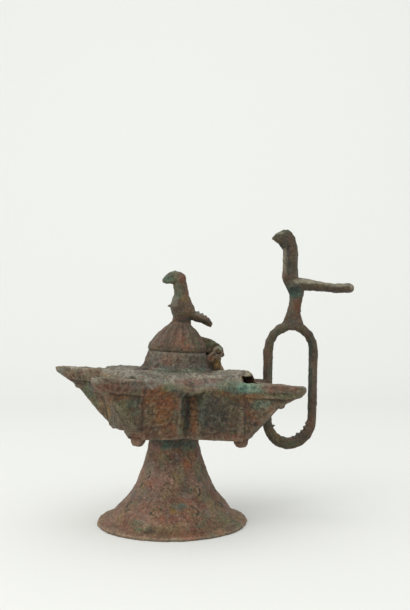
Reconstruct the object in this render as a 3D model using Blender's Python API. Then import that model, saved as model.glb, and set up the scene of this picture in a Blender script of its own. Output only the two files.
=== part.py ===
"""Cast bronze oil lamp on a trumpet foot: a square-bodied reservoir with four corner spouts,
a hinged fluted lid with a bird finial, and a tall ring handle with a bird thumb-piece.

Lengths are in metres and angles in degrees. +Z is up and the handle points along +X. The
origin is the centre of the bounding box's underside. The foot stands plumb; everything above
it is modelled upright in its own frame, whose origin is the centre of the reservoir's flat
bottom, and that frame leans a little towards the heavy handle.
"""

import math
from collections import namedtuple

import bmesh
import bpy
from mathutils import Matrix, Vector

# Fits
GAP = 0.0003  # between pieces that touch
WALL = 0.0022  # cast wall of the reservoir, foot and lid

# Foot: a hollow trumpet with a rounded shoulder above a spreading flange
FOOT_RADIUS = 0.0446
FLANGE_EDGE = 0.0016
NECK_RADIUS = 0.0145
FOOT_HEIGHT = 0.0535  # up to the reservoir's bottom, on the axis
FOOT_CURVE = (
    # share of the foot's height, share of the way from the neck's radius to the flange's
    (0.048, 0.940),
    (0.074, 0.800),
    (0.102, 0.730),
    (0.150, 0.662),
    (0.205, 0.588),
    (0.262, 0.490),
    (0.335, 0.378),
    (0.430, 0.284),
    (0.540, 0.200),
    (0.660, 0.118),
    (0.780, 0.058),
    (0.890, 0.012),
)
FOOT_SKEW = 0.0012  # the neck stands a little off the flange's centre
LEAN = 3.4  # of the reservoir, towards the handle
HANDLE_LEAN = 1.3

# Reservoir plan: each corner lobe is set out along its spout (along) and square to it (across)
LOBE_REACH = 0.0498
ROOT_HALF_WIDTH = 0.0072
ROOT_FOOT_HALF_WIDTH = 0.0048
SIDE_ALONG = 0.0315
SIDE_ACROSS = 0.0215
SIDE_FOOT_SHARE = 0.83  # how far the sides draw in towards the bottom
VALLEY_FOOT_RADIUS = 0.0272
VALLEY_RADIUS = 0.0290
LIP_RADIUS = 0.0368

# Reservoir heights above its flat bottom
GROOVE_TOP = 0.0245
CORNER_TOP = 0.0352
SIDE_TOP = 0.0325
VALLEY_TOP = 0.0296
EDGE_ROUND = 0.0034
COVER_TOP = 0.0375
COVER_LEVEL = 0.024  # the cover rises towards the handle, against the lean
SEAT_HEIGHT = 0.0484

# Collar that carries the lid
COLLAR_BASE_RADIUS = 0.0199
COLLAR_TOP_RADIUS = 0.0170
COLLAR_FLARE = 0.0022
MOUTH_RADIUS = 0.0146
MOUTH_FLARE = 0.0028

# Spouts, anticlockwise. Each was finished by hand, so their lengths and hoods differ, and so do
# the setback of the lobe's foot from its full reach, the thickness of the roof over the port, the
# depth to which one jamb of the port has broken away, and the drop of the lug below.
Spout = namedtuple("Spout", "bearing reach drift rim rise tip_depth hood setback roof bite lug")
SPOUTS = (
    Spout(45.0, 0.0845, 0.0000, 0.0331, 0.0004, 0.0040, 0.0374, 0.0048, 0.0020, 0.0000, 0.0037),
    Spout(135.0, 0.0862, 0.0006, 0.0344, -0.0008, 0.0034, 0.0372, 0.0083, 0.0020, 0.0000, 0.0018),
    Spout(225.0, 0.0848, -0.0022, 0.0334, 0.0026, 0.0040, 0.0380, 0.0063, 0.0040, 0.0000, 0.0037),
    Spout(315.0, 0.0826, 0.0000, 0.0337, 0.0006, 0.0052, 0.0400, 0.0013, 0.0035, 0.0050, 0.0037),
)
TIP_HALF_WIDTH = 0.0026
BAND_DEPTH = 0.0078
BAND_BULGE = 0.0006
KNOB_ALONG = 0.0682
KNOB_LENGTH = 0.0028
KNOB_HEIGHT = 0.0206
KNOB_STEP = 0.0027
KEEL_HALF_WIDTH = 0.0019
CHANNEL_WALL = 0.0016
CHANNEL_FLOOR = 0.0020
CHANNEL_LIP = 0.0015
PORT_HALF_WIDTH = 0.0054
PORT_DROP = 0.0030  # the port's floor below the trough's
TROUGH_RAMP = 0.3  # share of the trough that slopes down to the port
BREAK_REACH = 0.0120  # how far across the broken jamb is cleared

# Lugs under the corners of the reservoir
LUG_LENGTH = 0.0078
LUG_HALF_WIDTH = 0.0040

# Lid: fluted dome
LID_RADIUS = 0.0172
LID_BAND = 0.0034
LID_HEIGHT = 0.0184
LID_POWER = 0.50
LID_SKEW = 0.0014  # the crown stands a little off the dome's centre
GORES = 16
GORE_DEPTH = 0.0008
CROWN_RADIUS = 0.0055

# Hinge between the lid's tongue and two ears on the collar
PIN_ALONG = 0.0245
PIN_RISE = 0.0014  # above the lid's seat
PIN_RADIUS = 0.0011
EAR_RADIUS = 0.0030
EAR_THICKNESS = 0.0022
TONGUE_WIDTH = 0.0050
SWING_GAP = 0.0005
TONGUE_OUTLINE = (
    # along from the lamp's axis, height above the seat
    (0.0138, 0.0010),
    (0.0181, 0.0010),
    (0.0204, -0.0008),
    (0.0228, -0.0019),
    (0.0256, -0.0021),
    (0.0274, -0.0025),
    (0.0290, -0.0021),
    (0.0300, -0.0009),
    (0.0287, 0.0033),
    (0.0261, 0.0059),
    (0.0205, 0.0086),
    (0.0156, 0.0095),
    (0.0120, 0.0092),
)

# Ring handle, in the plane of the lamp's axis
RING_ALONG = 0.0775
RING_LOW = -0.0100
RING_HIGH = 0.0709
RING_OUTER_WIDTH = 0.0370
RING_ROD = 0.0059
RING_SWELL = 0.0016  # extra thickness inside the ring's foot
RING_THICKNESS = 0.0054
BRACKET_WIDTH = 0.0064
BRACKET_HEIGHT = 0.0110
BRACKET_TOP = 0.0345
TAIL_REACH = 0.1192

# Faceting
FOOT_SIDES = 36
ROD_SIDES = 10
BODY_SIDES = 14
ARC_STEPS = 9

FOOT_MATERIAL = ("foot_bronze", (0.20, 0.105, 0.075), 0.62)
BODY_MATERIAL = ("body_bronze", (0.19, 0.120, 0.080), 0.62)
LID_MATERIAL = ("lid_bronze", (0.17, 0.110, 0.085), 0.62)
PIN_MATERIAL = ("pin_bronze", (0.12, 0.080, 0.055), 0.65)
HANDLE_MATERIAL = ("handle_bronze", (0.14, 0.095, 0.065), 0.58)


def clear_scene():
    for obj in list(bpy.data.objects):
        bpy.data.objects.remove(obj)


def metal(settings):
    """A Principled BSDF for one piece: its name, colour and roughness."""
    name, colour, roughness = settings
    found = bpy.data.materials.get(name)
    if found:
        return found
    made = bpy.data.materials.new(name)
    made.use_nodes = True
    shader = made.node_tree.nodes["Principled BSDF"]
    shader.inputs["Base Color"].default_value = (*colour, 1.0)
    shader.inputs["Roughness"].default_value = roughness
    shader.inputs["Metallic"].default_value = 0.55
    return made


def mix(a, b, t):
    return a + (b - a) * t


def along_points(value, points):
    """The height of a broken line of (position, height) points at one position."""
    if value <= points[0][0]:
        return points[0][1]
    for (x0, y0), (x1, y1) in zip(points, points[1:]):
        if value <= x1:
            return mix(y0, y1, (value - x0) / (x1 - x0))
    return points[-1][1]


def add_loft(bm, rings):
    """Skins rings of equally many points, anticlockwise as seen from the last ring, and caps both ends."""
    rows = [[bm.verts.new(point) for point in ring] for ring in rings]
    count = len(rows[0])
    for low, high in zip(rows, rows[1:]):
        for i in range(count):
            j = (i + 1) % count
            bm.faces.new((low[i], low[j], high[j]))
            bm.faces.new((low[i], high[j], high[i]))
    bm.faces.new(reversed(rows[0]))
    bm.faces.new(rows[-1])


def add_loop_loft(bm, rings):
    """Skins rings that close on themselves, as round a ring handle or a tube with open ends."""
    rows = [[bm.verts.new(point) for point in ring] for ring in rings]
    count = len(rows[0])
    for low, high in zip(rows, rows[1:] + rows[:1]):
        for i in range(count):
            j = (i + 1) % count
            bm.faces.new((low[i], low[j], high[j], high[i]))


def finish(name, bm, settings, parent=None, helper=False):
    """Turns a bmesh into a named object, smooth shaded between its sharp edges."""
    bmesh.ops.recalc_face_normals(bm, faces=bm.faces)
    mesh = bpy.data.meshes.new(name)
    bm.to_mesh(mesh)
    bm.free()
    mesh.shade_smooth()
    mesh.set_sharp_from_angle(angle=math.radians(40))
    mesh.materials.append(metal(settings))
    obj = bpy.data.objects.new(name, mesh)
    bpy.context.scene.collection.objects.link(obj)
    obj.parent = parent
    if helper:
        obj.hide_render = True
        obj.display_type = "WIRE"
    return obj


def boolean(obj, other, operation):
    modifier = obj.modifiers.new(f"{operation.lower()}_{other.name}", "BOOLEAN")
    modifier.operation = operation
    modifier.solver = "EXACT"
    modifier.object = other


# Foot


def foot_profile(inset):
    """Radius and height pairs from the flange's edge up to the neck, moved inwards by inset."""
    edge = FLANGE_EDGE * (1 - inset / WALL)
    points = [(FOOT_RADIUS - inset * 1.6, 0.0), (FOOT_RADIUS - inset * 1.9, edge)]
    for share, spread in FOOT_CURVE:
        radius = mix(NECK_RADIUS, FOOT_RADIUS, spread)
        points.append((radius - inset * (1 + spread), FOOT_HEIGHT * share - inset * spread * 0.5))
    points.append((NECK_RADIUS - inset, FOOT_HEIGHT))
    return points


def make_foot():
    """A shell: up its outside, over the lip of the neck and down its inside. The lip follows the lean."""
    outer = foot_profile(0.0)
    inner = foot_profile(WALL)
    slope = math.tan(math.radians(LEAN))
    rings = []
    for radius, height in outer + inner[::-1]:
        follow = (height / FOOT_HEIGHT) ** 6
        ring = []
        for i in range(FOOT_SIDES):
            angle = math.tau * i / FOOT_SIDES
            x = radius * math.cos(angle) + FOOT_SKEW * min(1.0, height / (FOOT_HEIGHT * 0.3))
            y = radius * math.sin(angle)
            ring.append((x, y, height - follow * (slope * x + GAP)))
        rings.append(ring)
    bm = bmesh.new()
    add_loop_loft(bm, rings)
    foot = finish("foot", bm, FOOT_MATERIAL)
    foot.location = (*foot_axis(), 0.0)
    return foot


# Reservoir shell


def turned(along, across, bearing):
    """A plan point given along and square to a bearing, in the reservoir's frame."""
    c = math.cos(math.radians(bearing))
    s = math.sin(math.radians(bearing))
    return along * c - across * s, along * s + across * c


def inset_polygon(points, distance):
    """Moves each side of an anticlockwise polygon inwards and joins the sides again at their crossings."""
    count = len(points)
    moved = []
    for i in range(count):
        before = Vector(points[i - 1])
        here = Vector(points[i])
        after = Vector(points[(i + 1) % count])
        first = (here - before).normalized()
        second = (after - here).normalized()
        normal_a = Vector((-first.y, first.x))
        normal_b = Vector((-second.y, second.x))
        middle = normal_a + normal_b
        moved.append(tuple(here + middle * (distance / (1 + normal_a.dot(normal_b)))))
    return moved


def cover_rise(x):
    return COVER_LEVEL * x


def lobe_foot(spout):
    """How far out the lobe's foot stands, at the reservoir's flat bottom."""
    return LOBE_REACH - spout.setback


def plan(share, valley, inset=0.0):
    """The reservoir's outline as (x, y, top), with the height of the cover's edge at each point.

    The lobes reach from their foot (share 0) to their full size (share 1).
    """
    corners = []
    tops = []
    for spout in SPOUTS:
        reach = mix(lobe_foot(spout), LOBE_REACH, share)
        draw = mix(SIDE_FOOT_SHARE, 1.0, share)
        root = mix(ROOT_FOOT_HALF_WIDTH, ROOT_HALF_WIDTH, share)
        lobe = (
            (SIDE_ALONG * draw, -SIDE_ACROSS * draw, SIDE_TOP),
            (reach, -root, CORNER_TOP),
            (reach, 0.0, spout.hood),
            (reach, root, CORNER_TOP),
            (SIDE_ALONG * draw, SIDE_ACROSS * draw, SIDE_TOP),
            (valley * math.sqrt(0.5), valley * math.sqrt(0.5), VALLEY_TOP),
        )
        for along, across, top in lobe:
            corners.append(turned(along, across, spout.bearing))
            tops.append(top + cover_rise(corners[-1][0]))
    if inset:
        corners = inset_polygon(corners, inset)
    parts = (3, 2, 2, 3, 2, 2)
    outline = []
    for i, corner in enumerate(corners):
        after = corners[(i + 1) % len(corners)]
        steps = parts[i % len(parts)]
        for step in range(steps):
            t = step / steps
            top = mix(tops[i], tops[(i + 1) % len(tops)], t)
            outline.append((mix(corner[0], after[0], t), mix(corner[1], after[1], t), top))
    return outline


def level_ring(outline, height):
    return [(x, y, height) for x, y, _ in outline]


def edge_ring(outline, shrink, drop):
    """The outline pulled towards the axis by shrink, at drop below the cover's edge."""
    ring = []
    for x, y, top in outline:
        scale = 1 - shrink / math.hypot(x, y)
        ring.append((x * scale, y * scale, top - drop))
    return ring


def circle_ring(outline, radius, height, follow=0.0):
    """A circle with its points where the outline's point. It follows the cover's slope or stays level."""
    ring = []
    for x, y, _ in outline:
        share = radius / math.hypot(x, y)
        ring.append((x * share, y * share, height + follow * cover_rise(x * share)))
    return ring


def between(low, high, t, bulge):
    """A ring part of the way from one ring to another, raised by bulge."""
    return [
        (mix(a[0], b[0], t), mix(a[1], b[1], t), mix(a[2], b[2], t) + bulge)
        for a, b in zip(low, high)
    ]


def outer_rings(grow=0.0):
    """The outside of the reservoir, from flat bottom to seat. Grown, it cuts room for a neighbour."""
    foot_plan = plan(0.0, VALLEY_FOOT_RADIUS, -grow)
    wall_plan = plan(GROOVE_TOP / SIDE_TOP, VALLEY_RADIUS, -grow)
    lip_plan = plan(1.0, LIP_RADIUS, -grow)
    rings = [
        edge_ring([(x, y, 0.0) for x, y, _ in foot_plan], 0.0007, grow),
        level_ring(foot_plan, 0.0008 - grow),
        level_ring(wall_plan, GROOVE_TOP - grow),
        edge_ring(lip_plan, 0.0, EDGE_ROUND + grow),
    ]
    for angle in (25.0, 50.0, 75.0):
        c = math.cos(math.radians(angle))
        s = math.sin(math.radians(angle))
        rings.append(edge_ring(lip_plan, EDGE_ROUND * (1 - c), EDGE_ROUND * (1 - s) - grow))
    shoulder = rings[-1]
    base = circle_ring(lip_plan, COLLAR_BASE_RADIUS + COLLAR_FLARE + grow, COVER_TOP + grow, 1.0)
    rings.append(between(shoulder, base, 0.35, 0.0010))
    rings.append(between(shoulder, base, 0.70, 0.0008))
    rings.append(base)
    rings.append(circle_ring(lip_plan, COLLAR_BASE_RADIUS + grow, COVER_TOP + COLLAR_FLARE, 0.8))
    middle_height = mix(COVER_TOP, SEAT_HEIGHT, 0.65)
    middle_radius = mix(COLLAR_BASE_RADIUS, COLLAR_TOP_RADIUS, 0.55)
    rings.append(circle_ring(lip_plan, middle_radius + grow, middle_height))
    rings.append(circle_ring(lip_plan, COLLAR_TOP_RADIUS + grow, SEAT_HEIGHT + grow))
    return rings


def inner_rings():
    """The hollow of the reservoir, from above the mouth down to the floor."""
    hollow = plan(0.9, VALLEY_RADIUS, WALL)
    return [
        circle_ring(hollow, MOUTH_RADIUS, SEAT_HEIGHT + 0.001),
        circle_ring(hollow, MOUTH_RADIUS, SEAT_HEIGHT - 0.001),
        circle_ring(hollow, MOUTH_RADIUS + MOUTH_FLARE, COVER_TOP - WALL * 0.6, 1.0),
        edge_ring(hollow, EDGE_ROUND, WALL),
        edge_ring(hollow, 0.0, WALL + EDGE_ROUND * 0.7),
        level_ring(plan(0.0, VALLEY_FOOT_RADIUS, WALL), WALL),
    ]


# Spouts


def spout_share(spout, along):
    """How far out along a spout a point lies: 0 at the lobe, 1 at the tip."""
    return max(0.0, (along - LOBE_REACH) / (spout.reach - LOBE_REACH))


def spout_point(spout, along, across, height):
    """A point of one spout, whose centreline drifts sideways towards its tip."""
    x, y = turned(along, across + spout.drift * spout_share(spout, along), spout.bearing)
    return x, y, height


def rim_half_width(spout, along):
    return mix(ROOT_HALF_WIDTH, TIP_HALF_WIDTH, spout_share(spout, along))


def rim_height(spout, along):
    return spout.rim + spout.rise * spout_share(spout, along)


def keel_height(spout, along):
    """The underside: up the keel, over the small knob, and out along the nozzle."""
    line = (
        (lobe_foot(spout), 0.0),
        (KNOB_ALONG - KNOB_LENGTH / 2, KNOB_HEIGHT),
        (KNOB_ALONG + KNOB_LENGTH / 2, KNOB_HEIGHT + 0.0003),
        (KNOB_ALONG + KNOB_LENGTH, KNOB_HEIGHT + KNOB_STEP),
        (spout.reach, spout.rim + spout.rise - spout.tip_depth),
    )
    return along_points(along, line)


def spout_section(spout, along, scale=1.0):
    """One cross-section: rim, bulging band, crease below the band, and the keel."""
    knob_share = min(1.0, max(0.0, (along - LOBE_REACH) / (KNOB_ALONG - LOBE_REACH)))
    top = rim_height(spout, along)
    rim = rim_half_width(spout, along)
    keel = keel_height(spout, along)
    crease = max(top - BAND_DEPTH, keel + 0.0012)
    web = mix(ROOT_HALF_WIDTH - BAND_BULGE, KEEL_HALF_WIDTH + 0.0009, knob_share)
    web = min(web, rim - 0.0002)
    edge = mix(ROOT_FOOT_HALF_WIDTH - 0.0006, KEEL_HALF_WIDTH, knob_share)
    edge = min(edge, web - 0.0003)
    half = (
        (rim, top),
        (rim + BAND_BULGE, mix(top, crease, 0.5)),
        (rim - 0.0001, crease),
        (web, crease - 0.0004),
        (edge, keel + 0.0005),
        (edge * 0.55, keel),
    )
    centre = mix(top, keel, 0.5)
    ring = [(v, z) for v, z in half] + [(-v, z) for v, z in reversed(half)]
    return [
        spout_point(spout, along, -v * scale, centre + (z - centre) * scale) for v, z in ring
    ]


def spout_rings(spout):
    tip = spout.reach
    knob_start = KNOB_ALONG - KNOB_LENGTH / 2
    stations = [
        lobe_foot(spout) - WALL * 0.5,
        LOBE_REACH + 0.0004,
        mix(LOBE_REACH, knob_start, 0.35),
        mix(LOBE_REACH, knob_start, 0.70),
        knob_start,
        KNOB_ALONG + KNOB_LENGTH / 2,
        KNOB_ALONG + KNOB_LENGTH,
        mix(KNOB_ALONG + KNOB_LENGTH, tip, 0.45),
        tip - TIP_HALF_WIDTH,
    ]
    rings = [spout_section(spout, along) for along in stations]
    rings.append(spout_section(spout, tip - TIP_HALF_WIDTH * 0.3, 0.84))
    rings.append(spout_section(spout, tip, 0.50))
    return rings


def channel_rings(spout):
    """Cutter for the open trough that the wick lies in."""
    end = spout.reach - CHANNEL_LIP
    rings = []
    for share in (0.0, 0.3, 0.6, 0.85, 1.0):
        along = mix(LOBE_REACH + 0.0004, end, share)
        top = rim_height(spout, along)
        half = rim_half_width(spout, along) - mix(CHANNEL_WALL, TIP_HALF_WIDTH * 0.45, share)
        ramp = PORT_DROP * max(0.0, 1 - share / TROUGH_RAMP)
        under = max(keel_height(spout, along), top - BAND_DEPTH - ramp)
        floor = min(under + CHANNEL_FLOOR, top - mix(0.0020, 0.0012, share))
        section = ((half, top + 0.004), (half, mix(floor, top, 0.45)), (half * 0.6, floor))
        ring = [(v, z) for v, z in section] + [(-v, z) for v, z in reversed(section)]
        rings.append([spout_point(spout, along, -v, z) for v, z in ring])
    return rings


def port_crown(spout):
    return spout.hood - spout.roof + cover_rise(turned(LOBE_REACH, 0.0, spout.bearing)[0])


def port_rings(spout):
    """Cutter for the arched port that joins the trough to the hollow of the reservoir."""
    crown = port_crown(spout)
    floor = spout.rim - BAND_DEPTH - PORT_DROP + CHANNEL_FLOOR + 0.0003
    spring = mix(floor, crown, 0.6)
    arch = [
        (PORT_HALF_WIDTH * 0.7, floor),
        (PORT_HALF_WIDTH, floor + 0.0012),
        (PORT_HALF_WIDTH, spring),
        (PORT_HALF_WIDTH * 0.72, mix(spring, crown, 0.72)),
        (PORT_HALF_WIDTH * 0.3, crown),
    ]
    section = arch + [(-v, z) for v, z in reversed(arch)]
    rings = []
    for along in (LOBE_REACH - WALL - 0.0030, LOBE_REACH + 0.0016):
        rings.append([spout_point(spout, along, v, z) for v, z in section])
    return rings


def break_rings(spout):
    """Cutter for the clockwise jamb of a port, broken away from the rim up, further back at the top."""
    outer = LOBE_REACH + 0.0006
    rings = []
    for height, share in ((spout.rim, 0.4), (port_crown(spout), 1.0)):
        back = LOBE_REACH - spout.bite * share
        corners = ((back, -BREAK_REACH), (outer, -BREAK_REACH), (outer, -0.0010), (back, -0.0010))
        rings.append([(*turned(*corner, spout.bearing), height) for corner in corners])
    return rings


def lug_rings(spout):
    """A blunt lug under the lobe's outer corner."""
    outer = lobe_foot(spout) + 0.0003
    levels = ((0.0012, 1.0, 0.0), (-0.5 * spout.lug, 0.86, 0.0004), (-spout.lug, 0.60, 0.0011))
    rings = []
    for height, share, back in reversed(levels):
        half = LUG_HALF_WIDTH * share
        far = outer - back
        near = far - LUG_LENGTH * share
        bevel = half * 0.35
        plan_points = (
            (far, -half + bevel),
            (far, half - bevel),
            (far - bevel, half),
            (near + bevel, half),
            (near, half - bevel),
            (near, -half + bevel),
            (near + bevel, -half),
            (far - bevel, -half),
        )
        ring = []
        for along, across in plan_points:
            x, y = turned(along, across, spout.bearing)
            ring.append((x, y, height))
        rings.append(ring)
    return rings


# Hinge


def slab_rings(outline, low, high):
    """An outline of (x, z) points at two y values."""
    return [[(x, low, z) for x, z in outline], [(x, high, z) for x, z in outline]]


def arc_points(centre, radius, start, end, steps):
    return [
        (
            centre[0] + radius * math.cos(math.radians(mix(start, end, i / steps))),
            centre[1] + radius * math.sin(math.radians(mix(start, end, i / steps))),
        )
        for i in range(steps + 1)
    ]


def ear_outline():
    """Round the pin, then down its outer leg to the cover and back up inside the collar."""
    outer = PIN_ALONG + EAR_RADIUS
    inner_foot = mix(MOUTH_RADIUS + MOUTH_FLARE, COLLAR_BASE_RADIUS, 0.4)
    outline = arc_points((PIN_ALONG, SEAT_HEIGHT + PIN_RISE), EAR_RADIUS, 190.0, 0.0, ARC_STEPS)
    outline += [
        (outer - 0.0008, mix(SEAT_HEIGHT, COVER_TOP, 0.45)),
        (outer + 0.0010, COVER_TOP + 0.0022),
        (outer + 0.0040, COVER_TOP - 0.0010),
        (outer + 0.0036, COVER_TOP - 0.0032),
        (inner_foot + 0.0006, COVER_TOP - 0.0010),
        (mix(MOUTH_RADIUS, COLLAR_TOP_RADIUS, 0.55), SEAT_HEIGHT - 0.0030),
    ]
    return outline


def ear_sides():
    inner = TONGUE_WIDTH / 2 + SWING_GAP
    return ((inner, inner + EAR_THICKNESS), (-inner - EAR_THICKNESS, -inner))


def ear_rings(side):
    return slab_rings(ear_outline(), side[0], side[1])


def pin_rings(radius, reach):
    rings = []
    for y in (-reach, reach):
        rings.append(
            [
                (
                    PIN_ALONG + radius * math.cos(math.tau * i / ROD_SIDES),
                    y,
                    SEAT_HEIGHT + PIN_RISE + radius * math.sin(math.tau * i / ROD_SIDES),
                )
                for i in range(ROD_SIDES)
            ]
        )
    return rings


def tongue_outline():
    """The arm that leaves the dome, wraps the pin and ends in a down-turned nose."""
    return [(along, SEAT_HEIGHT + rise) for along, rise in TONGUE_OUTLINE]


# Assembly of the reservoir


def make_helper(name, frame, lofts, settings=BODY_MATERIAL):
    """Several separate lofts as one hidden object, to be joined to a piece or cut from it."""
    bm = bmesh.new()
    for rings in lofts:
        add_loft(bm, rings)
    return finish(name, bm, settings, frame, helper=True)


def make_reservoir(frame):
    bm = bmesh.new()
    add_loft(bm, outer_rings())
    reservoir = finish("reservoir", bm, BODY_MATERIAL, frame)

    spouts = make_helper("spouts", frame, [spout_rings(spout) for spout in SPOUTS])
    lugs = make_helper("lugs", frame, [lug_rings(spout) for spout in SPOUTS])
    ears = make_helper("hinge_ears", frame, [ear_rings(side) for side in ear_sides()])
    hollow = make_helper("hollow_cutter", frame, [inner_rings()[::-1]])
    channels = make_helper("channel_cutter", frame, [channel_rings(spout) for spout in SPOUTS])
    ports = make_helper("port_cutter", frame, [port_rings(spout) for spout in SPOUTS])
    broken = [break_rings(spout) for spout in SPOUTS if spout.bite]
    breaks = make_helper("broken_jamb_cutter", frame, broken)
    bore = make_helper("ear_bore", frame, [pin_rings(PIN_RADIUS + GAP, ear_sides()[0][1] + 0.001)])
    for helper in (spouts, lugs, ears):
        boolean(reservoir, helper, "UNION")
    for helper in (hollow, channels, ports, breaks, bore):
        boolean(reservoir, helper, "DIFFERENCE")
    return reservoir


# Birds: stacks of oval sections


def level_oval(x, z, along, across, power=2.0):
    """A horizontal oval round (x, z): along the lamp's radius, and square to it."""
    ring = []
    for i in range(BODY_SIDES):
        angle = math.tau * i / BODY_SIDES
        c = math.cos(angle)
        s = math.sin(angle)
        bend_c = math.copysign(abs(c) ** (2 / power), c)
        bend_s = math.copysign(abs(s) ** (2 / power), s)
        ring.append((x + along * bend_c, across * bend_s, z))
    return ring


def upright_oval(x, z, tall, across, slant=0.0):
    """An upright oval at x, facing +X, leaning back by slant per unit of height."""
    ring = []
    for i in range(BODY_SIDES):
        angle = math.tau * i / BODY_SIDES
        rise = tall * math.sin(angle)
        ring.append((x - slant * rise, across * math.cos(angle), z + rise))
    return ring


def stack(rows):
    return [level_oval(*row) for row in rows]


def beam(rows):
    return [upright_oval(*row) for row in rows]


LID_BIRD_HEIGHT = 0.0472  # crown of the bird above the seat
LID_BIRD_BODY = (
    # x, z, half-length, half-width, as shares of the bird's height
    (0.030, 0.340, 0.130, 0.085),
    (0.030, 0.395, 0.126, 0.078),
    (0.035, 0.440, 0.130, 0.092),
    (0.048, 0.500, 0.165, 0.112),
    (0.030, 0.570, 0.162, 0.112),
    (0.018, 0.640, 0.128, 0.098),
    (0.006, 0.720, 0.098, 0.078),
    (-0.008, 0.800, 0.094, 0.070),
    (-0.020, 0.870, 0.092, 0.066),
    (-0.028, 0.930, 0.062, 0.050),
)
LID_BIRD_HEAD = (
    # x, z, half-height, half-width, as shares of the bird's height
    (0.052, 0.888, 0.040, 0.034),
    (0.030, 0.900, 0.084, 0.058),
    (-0.030, 0.920, 0.096, 0.070),
    (-0.100, 0.930, 0.090, 0.070),
    (-0.165, 0.922, 0.074, 0.056),
    (-0.220, 0.900, 0.050, 0.036),
    (-0.252, 0.880, 0.022, 0.018),
)
LID_BIRD_TAIL = (
    (0.060, 0.505, 0.095, 0.080),
    (0.190, 0.462, 0.066, 0.072),
    (0.300, 0.430, 0.056, 0.078),
    (0.390, 0.386, 0.054, 0.086),
    (0.425, 0.362, 0.038, 0.074),
)


def scaled_rows(rows, size, base_x, base_z):
    return [
        (base_x + x * size, base_z + z * size, a * size, b * size) for x, z, a, b in rows
    ]


def dome_radius(height):
    """The dome's radius over its upright band, at a height above the band."""
    share = min(1.0, height / (LID_HEIGHT - LID_BAND))
    return max(CROWN_RADIUS, LID_RADIUS * (1 - share) ** LID_POWER)


def gored_ring(radius, height, depth):
    """A ring of shallow flutes, one for each gore."""
    steps = GORES * 2
    ring = []
    for i in range(steps):
        angle = math.tau * (i + 1) / steps
        size = radius - depth * abs(math.cos(angle * GORES / 2))
        skew = LID_SKEW * (height - SEAT_HEIGHT) / LID_HEIGHT
        ring.append((size * math.cos(angle) + skew, size * math.sin(angle), height))
    return ring


def make_lid(frame):
    seat = SEAT_HEIGHT + GAP
    rings = [
        gored_ring(LID_RADIUS - 0.0005, seat, 0.0),
        gored_ring(LID_RADIUS, seat + 0.0008, 0.0),
        gored_ring(LID_RADIUS - 0.0002, seat + LID_BAND, GORE_DEPTH * 0.3),
    ]
    for share in (0.14, 0.32, 0.50, 0.68, 0.84, 0.95):
        height = (LID_HEIGHT - LID_BAND) * share
        radius = dome_radius(height)
        rings.append(
            gored_ring(radius, seat + LID_BAND + height, GORE_DEPTH * min(1.0, 3 * radius / LID_RADIUS))
        )
    inside = [
        gored_ring(LID_RADIUS - WALL, seat, 0.0),
        gored_ring(LID_RADIUS - WALL - 0.0006, seat + LID_BAND, 0.0),
    ]
    for share in (0.30, 0.60):
        height = (LID_HEIGHT - LID_BAND - WALL) * share
        inside.append(gored_ring(dome_radius(height) - WALL, seat + LID_BAND + height, 0.0))
    bm = bmesh.new()
    add_loft(bm, inside[::-1] + rings)
    lid = finish("lid", bm, LID_MATERIAL, frame)

    body = scaled_rows(LID_BIRD_BODY, LID_BIRD_HEIGHT, LID_SKEW / 2, seat)
    head = scaled_rows(LID_BIRD_HEAD, LID_BIRD_HEIGHT, LID_SKEW / 2, seat)
    tail = scaled_rows(LID_BIRD_TAIL, LID_BIRD_HEIGHT, LID_SKEW / 2, seat)
    tongue = slab_rings(tongue_outline(), -TONGUE_WIDTH / 2, TONGUE_WIDTH / 2)
    for name, rings in (
        ("lid_bird_body", stack(body)),
        ("lid_bird_head", beam(head)),
        ("lid_bird_tail", beam(tail)),
        ("lid_tongue", tongue),
    ):
        boolean(lid, make_helper(name, frame, [rings], LID_MATERIAL), "UNION")
    bore = make_helper("lid_bore", frame, [pin_rings(PIN_RADIUS + GAP, TONGUE_WIDTH)], LID_MATERIAL)
    boolean(lid, bore, "DIFFERENCE")
    return lid


def make_pin(frame):
    bm = bmesh.new()
    add_loft(bm, pin_rings(PIN_RADIUS, ear_sides()[0][1] + 0.0005))
    return finish("hinge_pin", bm, PIN_MATERIAL, frame)


# Handle


def ring_path():
    """Centreline points of the ring with their outward directions, anticlockwise in the XZ plane."""
    bend = (RING_OUTER_WIDTH - RING_ROD) / 2
    low = RING_LOW + RING_OUTER_WIDTH / 2
    high = RING_HIGH - RING_OUTER_WIDTH / 2
    path = []
    for start, centre_z in ((0.0, high), (180.0, low)):
        for i in range(ARC_STEPS + 1):
            angle = math.radians(start + 180.0 * i / ARC_STEPS)
            outward = Vector((math.cos(angle), 0.0, math.sin(angle)))
            path.append((Vector((RING_ALONG, 0.0, centre_z)) + outward * bend, outward))
    return path


def ring_rings():
    rings = []
    for middle, outward in ring_path():
        swell = RING_SWELL * max(0.0, -outward.z)
        centre = middle - outward * (swell / 2)
        ring = []
        for i in range(ROD_SIDES):
            angle = math.tau * i / ROD_SIDES
            radial = outward * ((RING_ROD + swell) / 2 * math.cos(angle))
            side = Vector((0.0, RING_THICKNESS / 2 * math.sin(angle), 0.0))
            ring.append(tuple(centre + radial + side))
        rings.append(ring)
    return rings


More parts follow.
